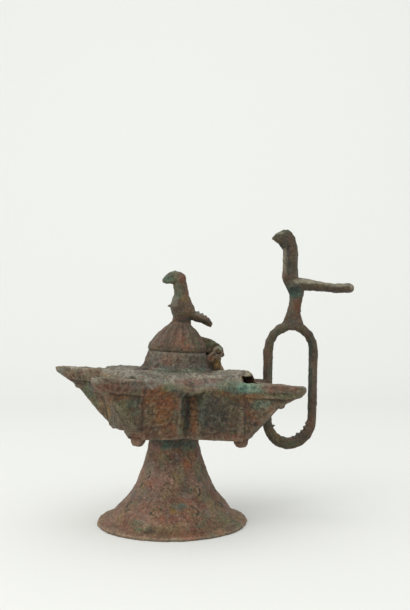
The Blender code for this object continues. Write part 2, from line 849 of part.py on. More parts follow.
BIRD_SIZE = 0.0574  # from the ring's crown to the bird's crown
HANDLE_BIRD_BODY = (
    # x, z, half-length, half-width, as shares of the bird's size
    (-0.010, -0.060, 0.150, 0.046),
    (0.003, 0.000, 0.116, 0.048),
    (0.005, 0.084, 0.083, 0.048),
    (0.020, 0.180, 0.071, 0.048),
    (0.036, 0.288, 0.084, 0.058),
    (0.018, 0.388, 0.114, 0.069),
    (-0.012, 0.435, 0.112, 0.068),
    (-0.044, 0.482, 0.094, 0.062),
    (-0.047, 0.620, 0.087, 0.058),
    (-0.045, 0.740, 0.087, 0.058),
    (-0.054, 0.820, 0.088, 0.060),
    (-0.070, 0.890, 0.080, 0.060),
    (-0.090, 0.956, 0.060, 0.050),
    (-0.108, 0.996, 0.034, 0.032),
)
HANDLE_BIRD_HEAD = (
    (-0.005, 0.868, 0.058, 0.040),
    (-0.066, 0.868, 0.124, 0.062),
    (-0.130, 0.886, 0.112, 0.062),
    (-0.186, 0.903, 0.072, 0.050),
    (-0.238, 0.902, 0.038, 0.032),
    (-0.272, 0.890, 0.011, 0.011),
)
HANDLE_TAIL_ROOT_Z = 0.404
HANDLE_TAIL = (
    # share of the tail's length, drop, half-height, half-width, the last three as shares of the size
    (0.00, -0.006, 0.072, 0.062),
    (0.25, 0.000, 0.066, 0.060),
    (0.48, 0.018, 0.056, 0.064),
    (0.72, 0.028, 0.052, 0.074),
    (0.93, 0.026, 0.056, 0.084),
    (1.00, 0.028, 0.046, 0.078),
)


def bracket_rings():
    """The bar that runs from the reservoir's valley out to the ring's inner limb."""
    inner = VALLEY_RADIUS - 0.004
    outer = RING_ALONG - RING_OUTER_WIDTH / 2 + RING_ROD * 0.55
    middle = BRACKET_TOP - BRACKET_HEIGHT / 2
    half = BRACKET_WIDTH / 2
    return [
        upright_oval(inner, middle, BRACKET_HEIGHT / 2, half),
        upright_oval(mix(inner, outer, 0.55), middle, BRACKET_HEIGHT * 0.44, half * 0.92),
        upright_oval(outer - RING_ROD * 0.6, middle, BRACKET_HEIGHT * 0.42, half * 0.80),
        upright_oval(outer, middle, BRACKET_HEIGHT * 0.64, half * 0.74),
    ]


def handle_turn():
    """Turns the handle about its ring's foot: it leans less than the reservoir does."""
    turn = Matrix.Rotation(math.radians(HANDLE_LEAN - LEAN), 4, "Y")
    pivot = Matrix.Translation((RING_ALONG, 0.0, RING_LOW))
    return pivot @ turn @ pivot.inverted()


def handle_tail_rows():
    rows = []
    for share, drop, tall, across in HANDLE_TAIL:
        x = mix(RING_ALONG, TAIL_REACH, share)
        z = RING_HIGH + (HANDLE_TAIL_ROOT_Z - drop) * BIRD_SIZE
        rows.append((x, z, tall * BIRD_SIZE, across * BIRD_SIZE))
    return rows


def make_handle(frame):
    bm = bmesh.new()
    add_loop_loft(bm, ring_rings())
    handle = finish("handle", bm, HANDLE_MATERIAL, frame)
    handle.matrix_basis = handle_turn()

    bird_x = RING_ALONG + 0.0010
    body = scaled_rows(HANDLE_BIRD_BODY, BIRD_SIZE, bird_x, RING_HIGH)
    head = scaled_rows(HANDLE_BIRD_HEAD, BIRD_SIZE, bird_x, RING_HIGH)
    for name, rings in (
        ("handle_bird_body", stack(body)),
        ("handle_bird_head", beam(head)),
        ("handle_bird_tail", beam(handle_tail_rows())),
    ):
        helper = make_helper(name, frame, [rings], HANDLE_MATERIAL)
        helper.matrix_basis = handle_turn()
        boolean(handle, helper, "UNION")
    bracket = make_helper("handle_bracket", frame, [bracket_rings()], HANDLE_MATERIAL)
    boolean(handle, bracket, "UNION")
    room = make_helper("handle_seat_cutter", frame, [outer_rings(GAP)], HANDLE_MATERIAL)
    boolean(handle, room, "DIFFERENCE")
    return handle


# Placement


def tilt():
    """The reservoir frame's rotation: its top leans towards the handle."""
    return Matrix.Rotation(math.radians(LEAN), 4, "Y")


def foot_axis():
    """Where the foot's axis stands, so that the lamp's length and width are centred on the origin."""
    points = []
    for spout in SPOUTS:
        for ring in spout_rings(spout):
            points += [tilt() @ Vector(point) for point in ring]
    for ring in beam(handle_tail_rows()):
        points += [tilt() @ handle_turn() @ Vector(point) for point in ring]
    xs = [point.x for point in points]
    ys = [point.y for point in points]
    return -(min(xs) + max(xs)) / 2, -(min(ys) + max(ys)) / 2


def make_frame():
    frame = bpy.data.objects.new("reservoir_frame", None)
    bpy.context.scene.collection.objects.link(frame)
    frame.location = (*foot_axis(), FOOT_HEIGHT)
    frame.rotation_euler = (0.0, math.radians(LEAN), 0.0)
    return frame


def main():
    clear_scene()
    frame = make_frame()
    make_foot()
    make_reservoir(frame)
    make_lid(frame)
    make_pin(frame)
    make_handle(frame)
    bpy.context.view_layer.update()


main()
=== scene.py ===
"""The looks of a cast bronze oil lamp: corroded cast surfaces with their patina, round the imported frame.

Each solid of the frame is remeshed finely, given the cast and corroded relief of old bronze in
its vertices, and painted in vertex colours that a procedural material then breaks up. Lengths are
in metres. A place named by a pixel of the photograph is found by a ray from the photograph's
camera onto the solids.
"""

import math
from collections import namedtuple

import bmesh
import bpy
import numpy as np
from mathutils import Matrix, Vector
from mathutils.bvhtree import BVHTree


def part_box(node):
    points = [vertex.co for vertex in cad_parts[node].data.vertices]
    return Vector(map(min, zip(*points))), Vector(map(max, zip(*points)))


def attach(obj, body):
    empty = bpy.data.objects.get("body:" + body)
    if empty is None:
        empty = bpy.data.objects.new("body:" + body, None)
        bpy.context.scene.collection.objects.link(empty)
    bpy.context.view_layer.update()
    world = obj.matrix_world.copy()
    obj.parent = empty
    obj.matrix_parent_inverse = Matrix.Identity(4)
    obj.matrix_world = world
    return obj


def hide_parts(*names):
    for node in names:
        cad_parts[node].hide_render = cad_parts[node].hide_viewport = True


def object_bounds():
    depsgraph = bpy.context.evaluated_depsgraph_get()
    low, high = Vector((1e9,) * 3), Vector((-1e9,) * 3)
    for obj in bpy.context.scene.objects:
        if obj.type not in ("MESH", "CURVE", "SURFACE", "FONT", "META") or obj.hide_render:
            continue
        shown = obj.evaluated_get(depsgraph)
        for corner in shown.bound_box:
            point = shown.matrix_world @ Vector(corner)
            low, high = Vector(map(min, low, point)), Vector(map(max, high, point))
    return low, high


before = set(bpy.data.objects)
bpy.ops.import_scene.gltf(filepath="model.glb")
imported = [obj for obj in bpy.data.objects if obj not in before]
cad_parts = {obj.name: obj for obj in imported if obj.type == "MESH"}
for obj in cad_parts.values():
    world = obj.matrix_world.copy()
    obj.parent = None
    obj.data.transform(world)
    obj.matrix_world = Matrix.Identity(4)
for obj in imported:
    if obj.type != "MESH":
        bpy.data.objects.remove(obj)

MM = 0.001
CAD_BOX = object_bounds()
MOST_FACES = 190000

# The photograph's camera, level, and turned a little to the lamp's right
PHOTO_WIDTH = 410
PHOTO_HEIGHT = 610
LENS = 50.0
SENSOR = 36.0
FOCAL_PIXELS = LENS / SENSOR * PHOTO_HEIGHT
CAMERA_TURN = math.radians(-19.0)
CAMERA_PLACE = Vector((-0.17679, -0.48800, 0.1298))
FORWARD = Vector((-math.sin(CAMERA_TURN), math.cos(CAMERA_TURN), 0.0))
RIGHT = Vector((math.cos(CAMERA_TURN), math.sin(CAMERA_TURN), 0.0))

# Places of the frame that the relief and the paint follow
FOOT_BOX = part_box("foot")
AXIS = Vector(((FOOT_BOX[0].x + FOOT_BOX[1].x) / 2, (FOOT_BOX[0].y + FOOT_BOX[1].y) / 2, 0.0))
LEAN = math.radians(3.4)
SEAM_HEIGHT = 0.0535
SEAT_HEIGHT = 0.0484  # of the lid's seat above the seam, along the lean
SEAT_RADII = (0.0150, 0.0171)
DOME_BASE = 0.0487
# Bounds of the hinge in the lamp's frame: where it starts along it, and its reach to either side
TONGUE_START = 0.0120
TONGUE_REACH = 0.0029
EAR_START = 0.0155
EAR_REACH = 0.0051


def lamp_frame(points):
    """Points in the leaning frame of the reservoir, whose origin is the middle of its bottom."""
    away = points - np.array((AXIS.x, AXIS.y, SEAM_HEIGHT))
    c = math.cos(LEAN)
    s = math.sin(LEAN)
    along = away[:, 0] * c - away[:, 2] * s
    up = away[:, 0] * s + away[:, 2] * c
    return np.stack((along, away[:, 1], up), axis=1)


def from_lamp_frame(local):
    """Points of the leaning frame, back in the room's."""
    c = math.cos(LEAN)
    s = math.sin(LEAN)
    along = local[:, 0] * c + local[:, 2] * s
    up = local[:, 2] * c - local[:, 0] * s
    return np.stack((along, local[:, 1], up), axis=1) + np.array((AXIS.x, AXIS.y, SEAM_HEIGHT))


def clear_of_hinge(local):
    """Where a point of the lamp's frame lies outside the hinge's tongue and ears."""
    across = np.abs(local[:, 1])
    beside_tongue = (across > TONGUE_REACH) & (local[:, 0] < EAR_START)
    return (local[:, 0] < TONGUE_START) | beside_tongue | (across > EAR_REACH)


# Noise


def lattice(ix, iy, iz, seed):
    """A fixed random number from 0 to 1 for each lattice point."""
    mask = np.int64(0xFFFFFFFF)
    h = (ix * 374761393 + iy * 668265263 + iz * 1440662683 + seed * 974634777) & mask
    h = ((h ^ (h >> 13)) * 1274126177) & mask
    h = ((h ^ (h >> 15)) * 2246822519) & mask
    return ((h ^ (h >> 16)) & 0xFFFF).astype(np.float32) / 65535.0


def value_noise(points, size, seed):
    """Smooth noise from -1 to 1 with bumps of about the given size."""
    scaled = points / size
    base = np.floor(scaled).astype(np.int64)
    t = (scaled - base).astype(np.float32)
    t = t * t * (3 - 2 * t)
    total = np.zeros(len(points), np.float32)
    for dx in (0, 1):
        wx = t[:, 0] if dx else 1 - t[:, 0]
        for dy in (0, 1):
            wy = t[:, 1] if dy else 1 - t[:, 1]
            for dz in (0, 1):
                wz = t[:, 2] if dz else 1 - t[:, 2]
                total += wx * wy * wz * lattice(base[:, 0] + dx, base[:, 1] + dy, base[:, 2] + dz, seed)
    return total * 2 - 1


TURN = np.array(Matrix.Rotation(0.9, 3, Vector((0.3, 0.7, 0.6)).normalized()))


def noise(points, size, seed, octaves=4, gain=0.5):
    """Several octaves of value noise, each turned against the last, from about -1 to 1."""
    total = np.zeros(len(points), np.float32)
    weight = 1.0
    summed = 0.0
    turned = points
    for octave in range(octaves):
        total += weight * value_noise(turned, size, seed + octave * 17)
        summed += weight
        weight *= gain
        size *= 0.5
        turned = turned @ TURN
    return total / summed * 1.6


def step(value, low, high):
    """Smooth step from 0 at low to 1 at high."""
    t = np.clip((value - low) / (high - low), 0, 1)
    return t * t * (3 - 2 * t)


# Places


def ray_through(x, y):
    """The direction from the camera through a pixel of the photograph."""
    across = (x - PHOTO_WIDTH / 2) / FOCAL_PIXELS
    up = (PHOTO_HEIGHT / 2 - y) / FOCAL_PIXELS
    return (FORWARD + RIGHT * across + Vector((0, 0, up))).normalized()


def solid_tree(node):
    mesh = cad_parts[node].data
    corners = [v.co for v in mesh.vertices]
    return BVHTree.FromPolygons(corners, [tuple(p.vertices) for p in mesh.polygons])


TREES = {node: solid_tree(node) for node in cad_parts}


def spot(node, x, y):
    """The point of a node seen at a pixel, or where the pixel's ray meets the handle's plane."""
    direction = ray_through(x, y)
    hit = TREES[node].ray_cast(CAMERA_PLACE, direction)[0]
    if hit is not None:
        return hit
    distance = (AXIS.y - CAMERA_PLACE.y) / direction.y
    return CAMERA_PLACE + direction * distance


# Meshes


def read_points(mesh):
    points = np.empty(len(mesh.vertices) * 3, np.float32)
    mesh.vertices.foreach_get("co", points)
    return points.reshape(-1, 3).astype(float)


def write_points(mesh, points):
    mesh.vertices.foreach_set("co", points.astype(np.float32).ravel())
    mesh.update()


def read_normals(mesh):
    normals = np.empty(len(mesh.vertices) * 3, np.float32)
    mesh.vertex_normals.foreach_get("vector", normals)
    return normals.reshape(-1, 3).astype(float)


def edges_of(mesh):
    ends = np.empty(len(mesh.edges) * 2, np.int64)
    mesh.edges.foreach_get("vertices", ends)
    return ends.reshape(-1, 2)


def neighbour_mean(values, ends):
    """The mean of each vertex's neighbours."""
    count = np.bincount(ends.ravel(), minlength=len(values)).astype(float)
    summed = np.empty_like(values)
    for k in range(values.shape[1]):
        one = np.bincount(ends[:, 0], values[ends[:, 1], k], minlength=len(values))
        summed[:, k] = one + np.bincount(ends[:, 1], values[ends[:, 0], k], minlength=len(values))
    return summed / np.maximum(count, 1)[:, None]


def smoothed(points, ends, rounds):
    """Rounds of smoothing that keep the volume: a step in, then a slightly longer step out."""
    for _ in range(rounds):
        points = points + 0.5 * (neighbour_mean(points, ends) - points)
        points = points - 0.52 * (neighbour_mean(points, ends) - points)
    return points


def evaluated_mesh(obj):
    bpy.context.view_layer.update()
    graph = bpy.context.evaluated_depsgraph_get()
    return bpy.data.meshes.new_from_object(obj.evaluated_get(graph))


def fine_copy(node, name):
    """A new object with the node's shape, remeshed into even small faces."""
    raw = bpy.data.objects.new(name + "_raw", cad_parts[node].data.copy())
    bpy.context.scene.collection.objects.link(raw)
    remesh = raw.modifiers.new("even", "REMESH")
    remesh.mode = "VOXEL"
    remesh.voxel_size = FINISHES[node].voxel
    remesh.use_smooth_shade = True
    mesh = evaluated_mesh(raw)
    bpy.data.objects.remove(raw)
    mesh.materials.clear()
    obj = bpy.data.objects.new(name, mesh)
    bpy.context.scene.collection.objects.link(obj)
    return obj


def thinned(obj, most_faces):
    """Collapses edges where the surface needs them least, down to a number of triangles."""
    mesh = obj.data
    count = sum(len(p.vertices) - 2 for p in mesh.polygons)
    if count <= most_faces:
        return
    fewer = obj.modifiers.new("fewer", "DECIMATE")
    fewer.ratio = most_faces / count
    made = evaluated_mesh(obj)
    obj.modifiers.clear()
    obj.data = made
    bpy.data.meshes.remove(mesh)


def near_others(points, node, others, reach):
    """1 where a point is within reach of another node, falling to 0 at twice that distance."""
    near = np.zeros(len(points))
    for other in others:
        low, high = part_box(other)
        above = np.all(points > np.array(low) - 2 * reach, axis=1)
        below = np.all(points < np.array(high) + 2 * reach, axis=1)
        for i in np.nonzero(above & below)[0]:
            distance = TREES[other].find_nearest(Vector(points[i]), 2 * reach)[3]
            if distance is not None:
                near[i] = max(near[i], min(1.0, 2 - distance / reach))
    return near


# Relief

# A lump or, with a height below 0, a dent: the pixel it is seen at, and its radius and height in mm
Lump = namedtuple("Lump", "x y size height")


def lump_row(start, end, count, size, height):
    """Evenly spaced lumps between two pixels."""
    row = []
    for i in range(count):
        t = i / (count - 1)
        x = start[0] + (end[0] - start[0]) * t
        y = start[1] + (end[1] - start[1]) * t
        row.append(Lump(x, y, size, height))
    return row


LID_LUMPS = [
    Lump(170.3, 306.0, 0.55, 1.9),
    Lump(196.0, 323.0, 1.6, 0.5),
    *lump_row((185.6, 275.0), (187.6, 289.0), 5, 0.75, -1.00),
    *lump_row((188.6, 292.0), (195.2, 309.0), 6, 0.80, -0.75),
    *lump_row((187.6, 290.4), (194.0, 306.0), 5, 0.60, 0.60),
    Lump(184.2, 272.0, 1.0, -0.7),
    *lump_row((198.5, 312.3), (209.5, 318.0), 4, 0.85, 1.05),
    Lump(171.5, 285.0, 1.3, -0.45),
    Lump(178.0, 279.0, 1.3, 0.45),
    Lump(172.5, 277.0, 0.9, -0.35),
    Lump(177.0, 296.0, 1.8, -0.35),
    Lump(188.0, 309.0, 2.6, 0.65),
    Lump(181.5, 309.0, 2.2, -0.55),
    Lump(174.0, 305.0, 2.4, 0.45),
    Lump(190.0, 318.5, 1.6, -0.35),
    Lump(204.6, 352.0, 0.9, 0.45),
    Lump(211.0, 344.0, 1.4, 0.40),
    Lump(207.5, 347.5, 1.2, -0.45),
    Lump(215.5, 345.5, 1.0, -0.35),
    Lump(219.0, 348.0, 1.2, 0.45),
]
HANDLE_LUMPS = [
    Lump(272.6, 426.0, 0.75, 1.9),
    Lump(271.0, 419.5, 1.2, 0.5),
    Lump(277.0, 433.5, 1.0, -0.3),
    Lump(306.6, 423.0, 1.0, 0.9),
    Lump(304.6, 427.2, 1.1, 1.5),
    Lump(301.6, 431.0, 1.1, 1.4),
    Lump(297.5, 434.6, 1.2, 1.5),
    Lump(292.5, 437.2, 1.0, 0.9),
    Lump(267.5, 405.0, 1.2, 0.5),
    Lump(270.5, 398.0, 1.0, 0.5),
    Lump(283.5, 332.0, 1.3, 0.5),
    Lump(276.5, 340.0, 1.4, 0.35),
    Lump(303.5, 334.5, 1.3, 0.5),
    Lump(306.5, 341.5, 1.2, 0.3),
    Lump(349.5, 284.0, 1.4, 0.5),
    Lump(337.0, 283.5, 1.2, 0.35),
    Lump(283.0, 278.0, 1.5, 0.35),
    Lump(288.0, 268.0, 1.6, -0.30),
    Lump(286.0, 236.0, 1.8, -0.25),
]
RESERVOIR_LUMPS = [
    Lump(292.0, 389.0, 0.8, 0.4),
    Lump(256.0, 371.0, 1.6, 0.3),
    Lump(262.0, 374.0, 1.4, 0.35),
    Lump(229.0, 368.0, 1.5, 0.35),
    Lump(240.0, 369.0, 2.2, 0.35),
    Lump(186.0, 386.5, 2.4, 0.35),
    Lump(168.0, 385.0, 2.0, -0.25),
    Lump(205.0, 387.0, 2.0, 0.25),
    Lump(151.0, 384.0, 1.6, -0.30),
    Lump(216.0, 350.0, 1.5, 0.55),
    Lump(220.0, 349.5, 1.0, 0.50),
    Lump(219.4, 353.0, 0.7, -0.60),
    Lump(214.0, 354.5, 1.0, -0.45),
    Lump(216.5, 357.5, 1.1, 0.55),
    Lump(212.5, 360.0, 1.2, 0.50),
    Lump(218.5, 362.0, 0.9, 0.45),
    Lump(213.0, 365.5, 1.1, -0.5),
    Lump(217.0, 366.0, 0.8, 0.4),
    Lump(222.0, 368.0, 1.3, 0.4),
    Lump(146.5, 362.5, 0.7, -0.6),
    Lump(190.0, 360.0, 1.6, -0.2),
    Lump(172.0, 357.0, 1.8, -0.2),
]


def lumps_on(points, node, lumps):
    """How far each point stands out because of the node's own lumps and dents."""
    out = np.zeros(len(points))
    for lump in lumps:
        centre = np.array(spot(node, lump.x, lump.y))
        apart = np.linalg.norm(points - centre, axis=1) / (lump.size * MM)
        out += lump.height * MM * np.exp(-apart * apart)
    return out


def cast_relief(points, seed, strength=1.0):
    """The uneven skin of an old casting: slow swells, lumps, grain, pits and crusts."""
    swell = 0.17 * noise(points, 11 * MM, seed, 3)
    lumps = 0.22 * noise(points, 3.6 * MM, seed + 5, 3)
    grain = 0.17 * noise(points, 1.7 * MM, seed + 9, 3, 0.7)
    pits = -0.28 * step(noise(points, 3.3 * MM, seed + 21, 5, 0.75), 0.34, 0.85)
    crust = 0.17 * step(noise(points, 4.2 * MM, seed + 33, 4, 0.7), 0.20, 0.50)
    return (swell + lumps + grain + pits + crust) * MM * strength


# Paint: colours as they look in daylight, from 0 to 255

COLOURS = {
    "umber": (104, 84, 68),
    "brown": (92, 70, 54),
    "red": (112, 70, 56),
    "mauve": (122, 96, 84),
    "rust": (128, 78, 52),
    "orange": (138, 88, 52),
    "gold": (134, 104, 52),
    "ochre": (138, 116, 84),
    "olive": (88, 80, 56),
    "moss": (84, 92, 66),
    "green": (88, 104, 80),
    "teal": (72, 100, 86),
    "verdigris": (112, 142, 124),
    "deep": (46, 54, 46),
    "black": (34, 30, 25),
    "dark": (60, 50, 40),
    "slate": (96, 98, 92),
    "grey": (122, 118, 108),
    # a dust tone, also the tint of the painted highlights on high spots
    "dust_and_light": (142, 136, 122),
    "pale": (156, 148, 134),
    "pink": (142, 108, 98),
    # the colour of painted highlights, lighter than the bronze
    "painted_highlight": (212, 202, 178),
}


def linear(name):
    channel = np.array(COLOURS[name], float) / 255
    return np.where(channel <= 0.04045, channel / 12.92, ((channel + 0.055) / 1.055) ** 2.4)


def lay(paint, name, amount):
    """Blends a colour into the paint by an amount from 0 to 1 at each point."""
    amount = np.clip(amount, 0, 1)[:, None]
    return paint * (1 - amount) + linear(name) * amount


# A row of a list of patches: the pixel of its centre, half-sizes in mm, colour and amount
Patch = namedtuple("Patch", "x y wide tall colour amount")


def lay_patches(paint, points, node, patches, seed):
    """Patches with ragged edges, each centred where its pixel meets the node."""
    warp = noise(points, 3.2 * MM, seed, 4, 0.65)
    speck = noise(points, 1.3 * MM, seed + 40, 3, 0.7)
    right = np.array(RIGHT)
    forward = np.array(FORWARD)
    for row in patches:
        patch = Patch(*row)
        centre = np.array(spot(node, patch.x, patch.y))
        away = points - centre
        across = away @ right / (patch.wide * MM)
        deep = away @ forward / (max(patch.wide, patch.tall) * MM)
        up = away[:, 2] / (patch.tall * MM)
        apart = np.sqrt(across * across + deep * deep + up * up)
        edge = apart + 0.34 * warp + 0.22 * speck
        paint = lay(paint, patch.colour, patch.amount * (1 - step(edge, 0.55, 1.15)))
    return paint


def mottle(points, base, seed, layers):
    """Clouds of colours over a base colour: (colour, cloud size in mm, threshold, amount)."""
    paint = np.tile(linear(base), (len(points), 1))
    for k, (name, size, low, amount) in enumerate(layers):
        cloud = noise(points, size * MM, seed + 11 * k, 4, 0.62)
        paint = lay(paint, name, amount * step(cloud, low, low + 0.42))
    return paint


SHADED_DEPTH = 0.20 * MM  # below or above its surroundings, where a point's shading is full


def paint_relief_shade_and_highlights(paint, hollow):
    """Painted shade in the hollows and painted highlights with pale wear on the high spots, by depth."""
    dark = np.clip(hollow / SHADED_DEPTH, 0, 1)
    high = np.clip(-hollow / SHADED_DEPTH, 0, 1)
    paint = lay(paint, "dust_and_light", 0.30 * high)
    paint = paint * (1 - 0.65 * dark)[:, None]
    return paint * (1 + 0.35 * high)[:, None]


# Materials


def link(tree, source, output, target, field):
    tree.links.new(source.outputs[output], target.inputs[field])


def noise_node(tree, coordinates, size, detail, roughness=0.6):
    node = tree.nodes.new("ShaderNodeTexNoise")
    node.inputs["Scale"].default_value = 1 / size
    node.inputs["Detail"].default_value = detail
    node.inputs["Roughness"].default_value = roughness
    link(tree, coordinates, "Object", node, "Vector")
    return node


def range_node(tree, source, output, low, high, to_low, to_high):
    node = tree.nodes.new("ShaderNodeMapRange")
    node.inputs["From Min"].default_value = low
    node.inputs["From Max"].default_value = high
    node.inputs["To Min"].default_value = to_low
    node.inputs["To Max"].default_value = to_high
    link(tree, source, output, node, "Value")
    return node


def colour_mix(tree, blend):
    node = tree.nodes.new("ShaderNodeMix")
    node.data_type = "RGBA"
    node.blend_type = blend
    return node


# Clouds of lighter and darker tone: size in metres, and the factors at their two ends
TONE_CLOUDS = ((0.0065, 0.72, 1.30), (0.0024, 0.42, 1.62), (0.0009, 0.25, 1.80))
# Flecks over the paint: colour, size in metres, threshold and amount
FLECKS = (
    ("green", 0.0036, 0.54, 0.55),
    ("rust", 0.0030, 0.54, 0.55),
    ("moss", 0.0020, 0.55, 0.60),
    ("red", 0.0017, 0.56, 0.60),
    ("deep", 0.0024, 0.55, 0.80),
    ("ochre", 0.0014, 0.57, 0.65),
    ("pale", 0.0011, 0.60, 0.70),
)
FLECK_EDGE = 0.10  # how softly a fleck sets in over its threshold
WORN_SIZE = 0.0035
BUMP_SIZE = 0.0006
BUMP_STRENGTH = 0.7
BUMP_DISTANCE = 0.0004


def patina(name, finish):
    """Old bronze: the painted colour, broken up by fine grain and flecks, matt with worn spots."""
    material = bpy.data.materials.new(name)
    material.use_nodes = True
    tree = material.node_tree
    shader = tree.nodes["Principled BSDF"]
    shader.inputs["Metallic"].default_value = finish.metallic
    coordinates = tree.nodes.new("ShaderNodeTexCoord")
    paint = tree.nodes.new("ShaderNodeAttribute")
    paint.attribute_name = "paint"

    colour = paint.outputs["Color"]
    for size, low, high in TONE_CLOUDS:
        cloud = noise_node(tree, coordinates, size, 6.0, 0.75)
        tone = range_node(tree, cloud, "Fac", 0.27, 0.73, low, high)
        toned = colour_mix(tree, "MULTIPLY")
        toned.inputs["Factor"].default_value = 1.0
        tree.links.new(colour, toned.inputs["A"])
        link(tree, tone, "Result", toned, "B")
        colour = toned.outputs["Result"]
    for tint, size, low, amount in FLECKS:
        cloud = noise_node(tree, coordinates, size, 7.0, 0.78)
        share = range_node(tree, cloud, "Fac", low, low + FLECK_EDGE, 0.0, amount)
        flecked = colour_mix(tree, "MIX")
        flecked.inputs["B"].default_value = (*linear(tint) * finish.depth, 1.0)
        link(tree, share, "Result", flecked, "Factor")
        tree.links.new(colour, flecked.inputs["A"])
        colour = flecked.outputs["Result"]
    tree.links.new(colour, shader.inputs["Base Color"])

    worn = noise_node(tree, coordinates, WORN_SIZE, 5.0)
    dullest = finish.roughness + 0.14
    dull = range_node(tree, worn, "Fac", 0.3, 0.7, finish.roughness - 0.12, dullest)
    link(tree, dull, "Result", shader, "Roughness")

    fine = noise_node(tree, coordinates, BUMP_SIZE, 5.0, 0.7)
    bump = tree.nodes.new("ShaderNodeBump")
    bump.inputs["Strength"].default_value = BUMP_STRENGTH
    bump.inputs["Distance"].default_value = BUMP_DISTANCE
    link(tree, fine, "Fac", bump, "Height")
    link(tree, bump, "Normal", shader, "Normal")
    return material


# Pieces

# A node's remesh step in metres, its roughness and metallic share, and the depth of its paint
Finish = namedtuple("Finish", "voxel roughness metallic depth")
FINISHES = {
    "foot": Finish(0.00045, 0.70, 0.10, 0.81),
    "reservoir": Finish(0.00050, 0.70, 0.10, 0.64),
    "lid": Finish(0.00030, 0.70, 0.10, 0.60),
    "hinge_pin": Finish(0.00012, 0.70, 0.15, 0.60),
    "handle": Finish(0.00032, 0.62, 0.15, 0.47),
}
RICHNESS = 1.42  # of the painted colours against their grey
CAST = (0.94, 1.0, 1.06)  # cooler than the named colours
SLOW_TONE = 0.30  # share by which slow clouds lighten and darken the paint
TOUCH_REACH = 0.0008  # within this of another piece the relief only goes inwards
TOUCH_CLEARANCE = 0.0001


def dress(obj, node, body, slot, paint):
    """Puts the paint, deepened, and the patina on a finished piece, and hands it to the frame."""
    finish = FINISHES[node]
    mesh = obj.data
    points = read_points(mesh)
    paint = paint * (1 + SLOW_TONE * noise(points, 7 * MM, 905, 3))[:, None]
    grey = paint.mean(axis=1, keepdims=True)
    rich = (grey + (paint - grey) * RICHNESS) * np.array(CAST)
    colours = np.ones((len(mesh.vertices), 4), np.float32)
    colours[:, :3] = np.clip(rich * finish.depth, 0, 1)
    layer = mesh.color_attributes.new("paint", "FLOAT_COLOR", "POINT")
    layer.data.foreach_set("color", colours.ravel())
    mesh.shade_smooth()
    mesh.materials.append(patina(slot + "_patina", finish))
    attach(obj, body)
    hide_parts(node)


def carve(obj, node, seed, rounds, lumps=(), others=(), strength=1.0, extra=None, fit=None):
    """Smooths a fine copy, adds its relief and fits, thins it and keeps it inside the frame's box."""
    mesh = obj.data
    ends = edges_of(mesh)
    points = smoothed(read_points(mesh), ends, rounds)
    write_points(mesh, points)
    normals = read_normals(mesh)
    out = cast_relief(points, seed, strength)
    if extra is not None:
        out += extra(points, normals)
    if others:
        near = near_others(points, node, others, TOUCH_REACH)
        out = np.where(near > 0, np.minimum(out, out * (1 - near) - TOUCH_CLEARANCE * near), out)
    out += lumps_on(points, node, lumps)
    points += normals * out[:, None]
    if fit is not None:
        points = fit(points)
    write_points(mesh, points)
    thinned(obj, MOST_FACES)
    kept = np.clip(read_points(obj.data), np.array(CAD_BOX[0]), np.array(CAD_BOX[1]))
    write_points(obj.data, kept)


def hollows(mesh, rounds=6):
    """How far each point lies below its smoothed surroundings, along its normal."""
    ends = edges_of(mesh)
    points = read_points(mesh)
    soft = points
    for _ in range(rounds):
        soft = soft + 0.8 * (neighbour_mean(soft, ends) - soft)
    return np.sum((soft - points) * read_normals(mesh), axis=1)


def dust_and_top_light(points, normals, seed):
    """Share of dust and of painted top light on a surface: more where it faces up."""
    return step(normals[:, 2] + 0.35 * noise(points, 3 * MM, seed, 4), 0.45, 1.05)


# Foot


def leaf_lines(points, normals):
    """Rings of incised leaf motifs round the foot, worn and uneven, on the outside alone."""
    away = points - np.array(AXIS)
    radius = np.hypot(away[:, 0], away[:, 1])
    angle = np.arctan2(away[:, 1], away[:, 0])
    outward = (normals[:, 0] * away[:, 0] + normals[:, 1] * away[:, 1]) / np.maximum(radius, 1e-6)
    outside = step(outward, 0.0, 0.25)
    wear = 0.15 + 0.85 * step(noise(points, 5 * MM, 71, 3), -0.4, 0.5)
    sway = 0.45 * noise(points, 3.2 * MM, 73, 3, 0.6)
    drift = 0.45 * noise(points, 3.2 * MM, 79, 3, 0.6)
    out = np.zeros(len(points))
    for height, count, start, half_wide, half_tall in FOOT_MOTIFS:
        pitch = math.tau / count
        turn = (angle - math.radians(start)) / pitch
        turn = (turn - np.round(turn)) * pitch * radius
        u = turn / (half_wide * MM) + sway
        v = (points[:, 2] - height * MM) / (half_tall * MM) + drift
        leaf = np.abs(u) + v * v
        line = np.exp(-(((leaf - 0.85) / 0.34) ** 2))
        vein = np.exp(-((u / 0.24) ** 2)) * (1 - step(np.abs(v), 0.3, 0.7))
        out += (line + 0.6 * vein) * (1 - step(np.abs(v), 1.0, 1.5)) * wear * outside
    return out


def foot_relief(points, normals):
    """The incised leaves, and a rougher flange."""
    flange = 1 - step(points[:, 2], 0.010, 0.016)
    rough = 0.30 * flange * noise(points, 5 * MM, 83, 4, 0.6)
    return (rough - 0.42 * leaf_lines(points, normals)) * MM


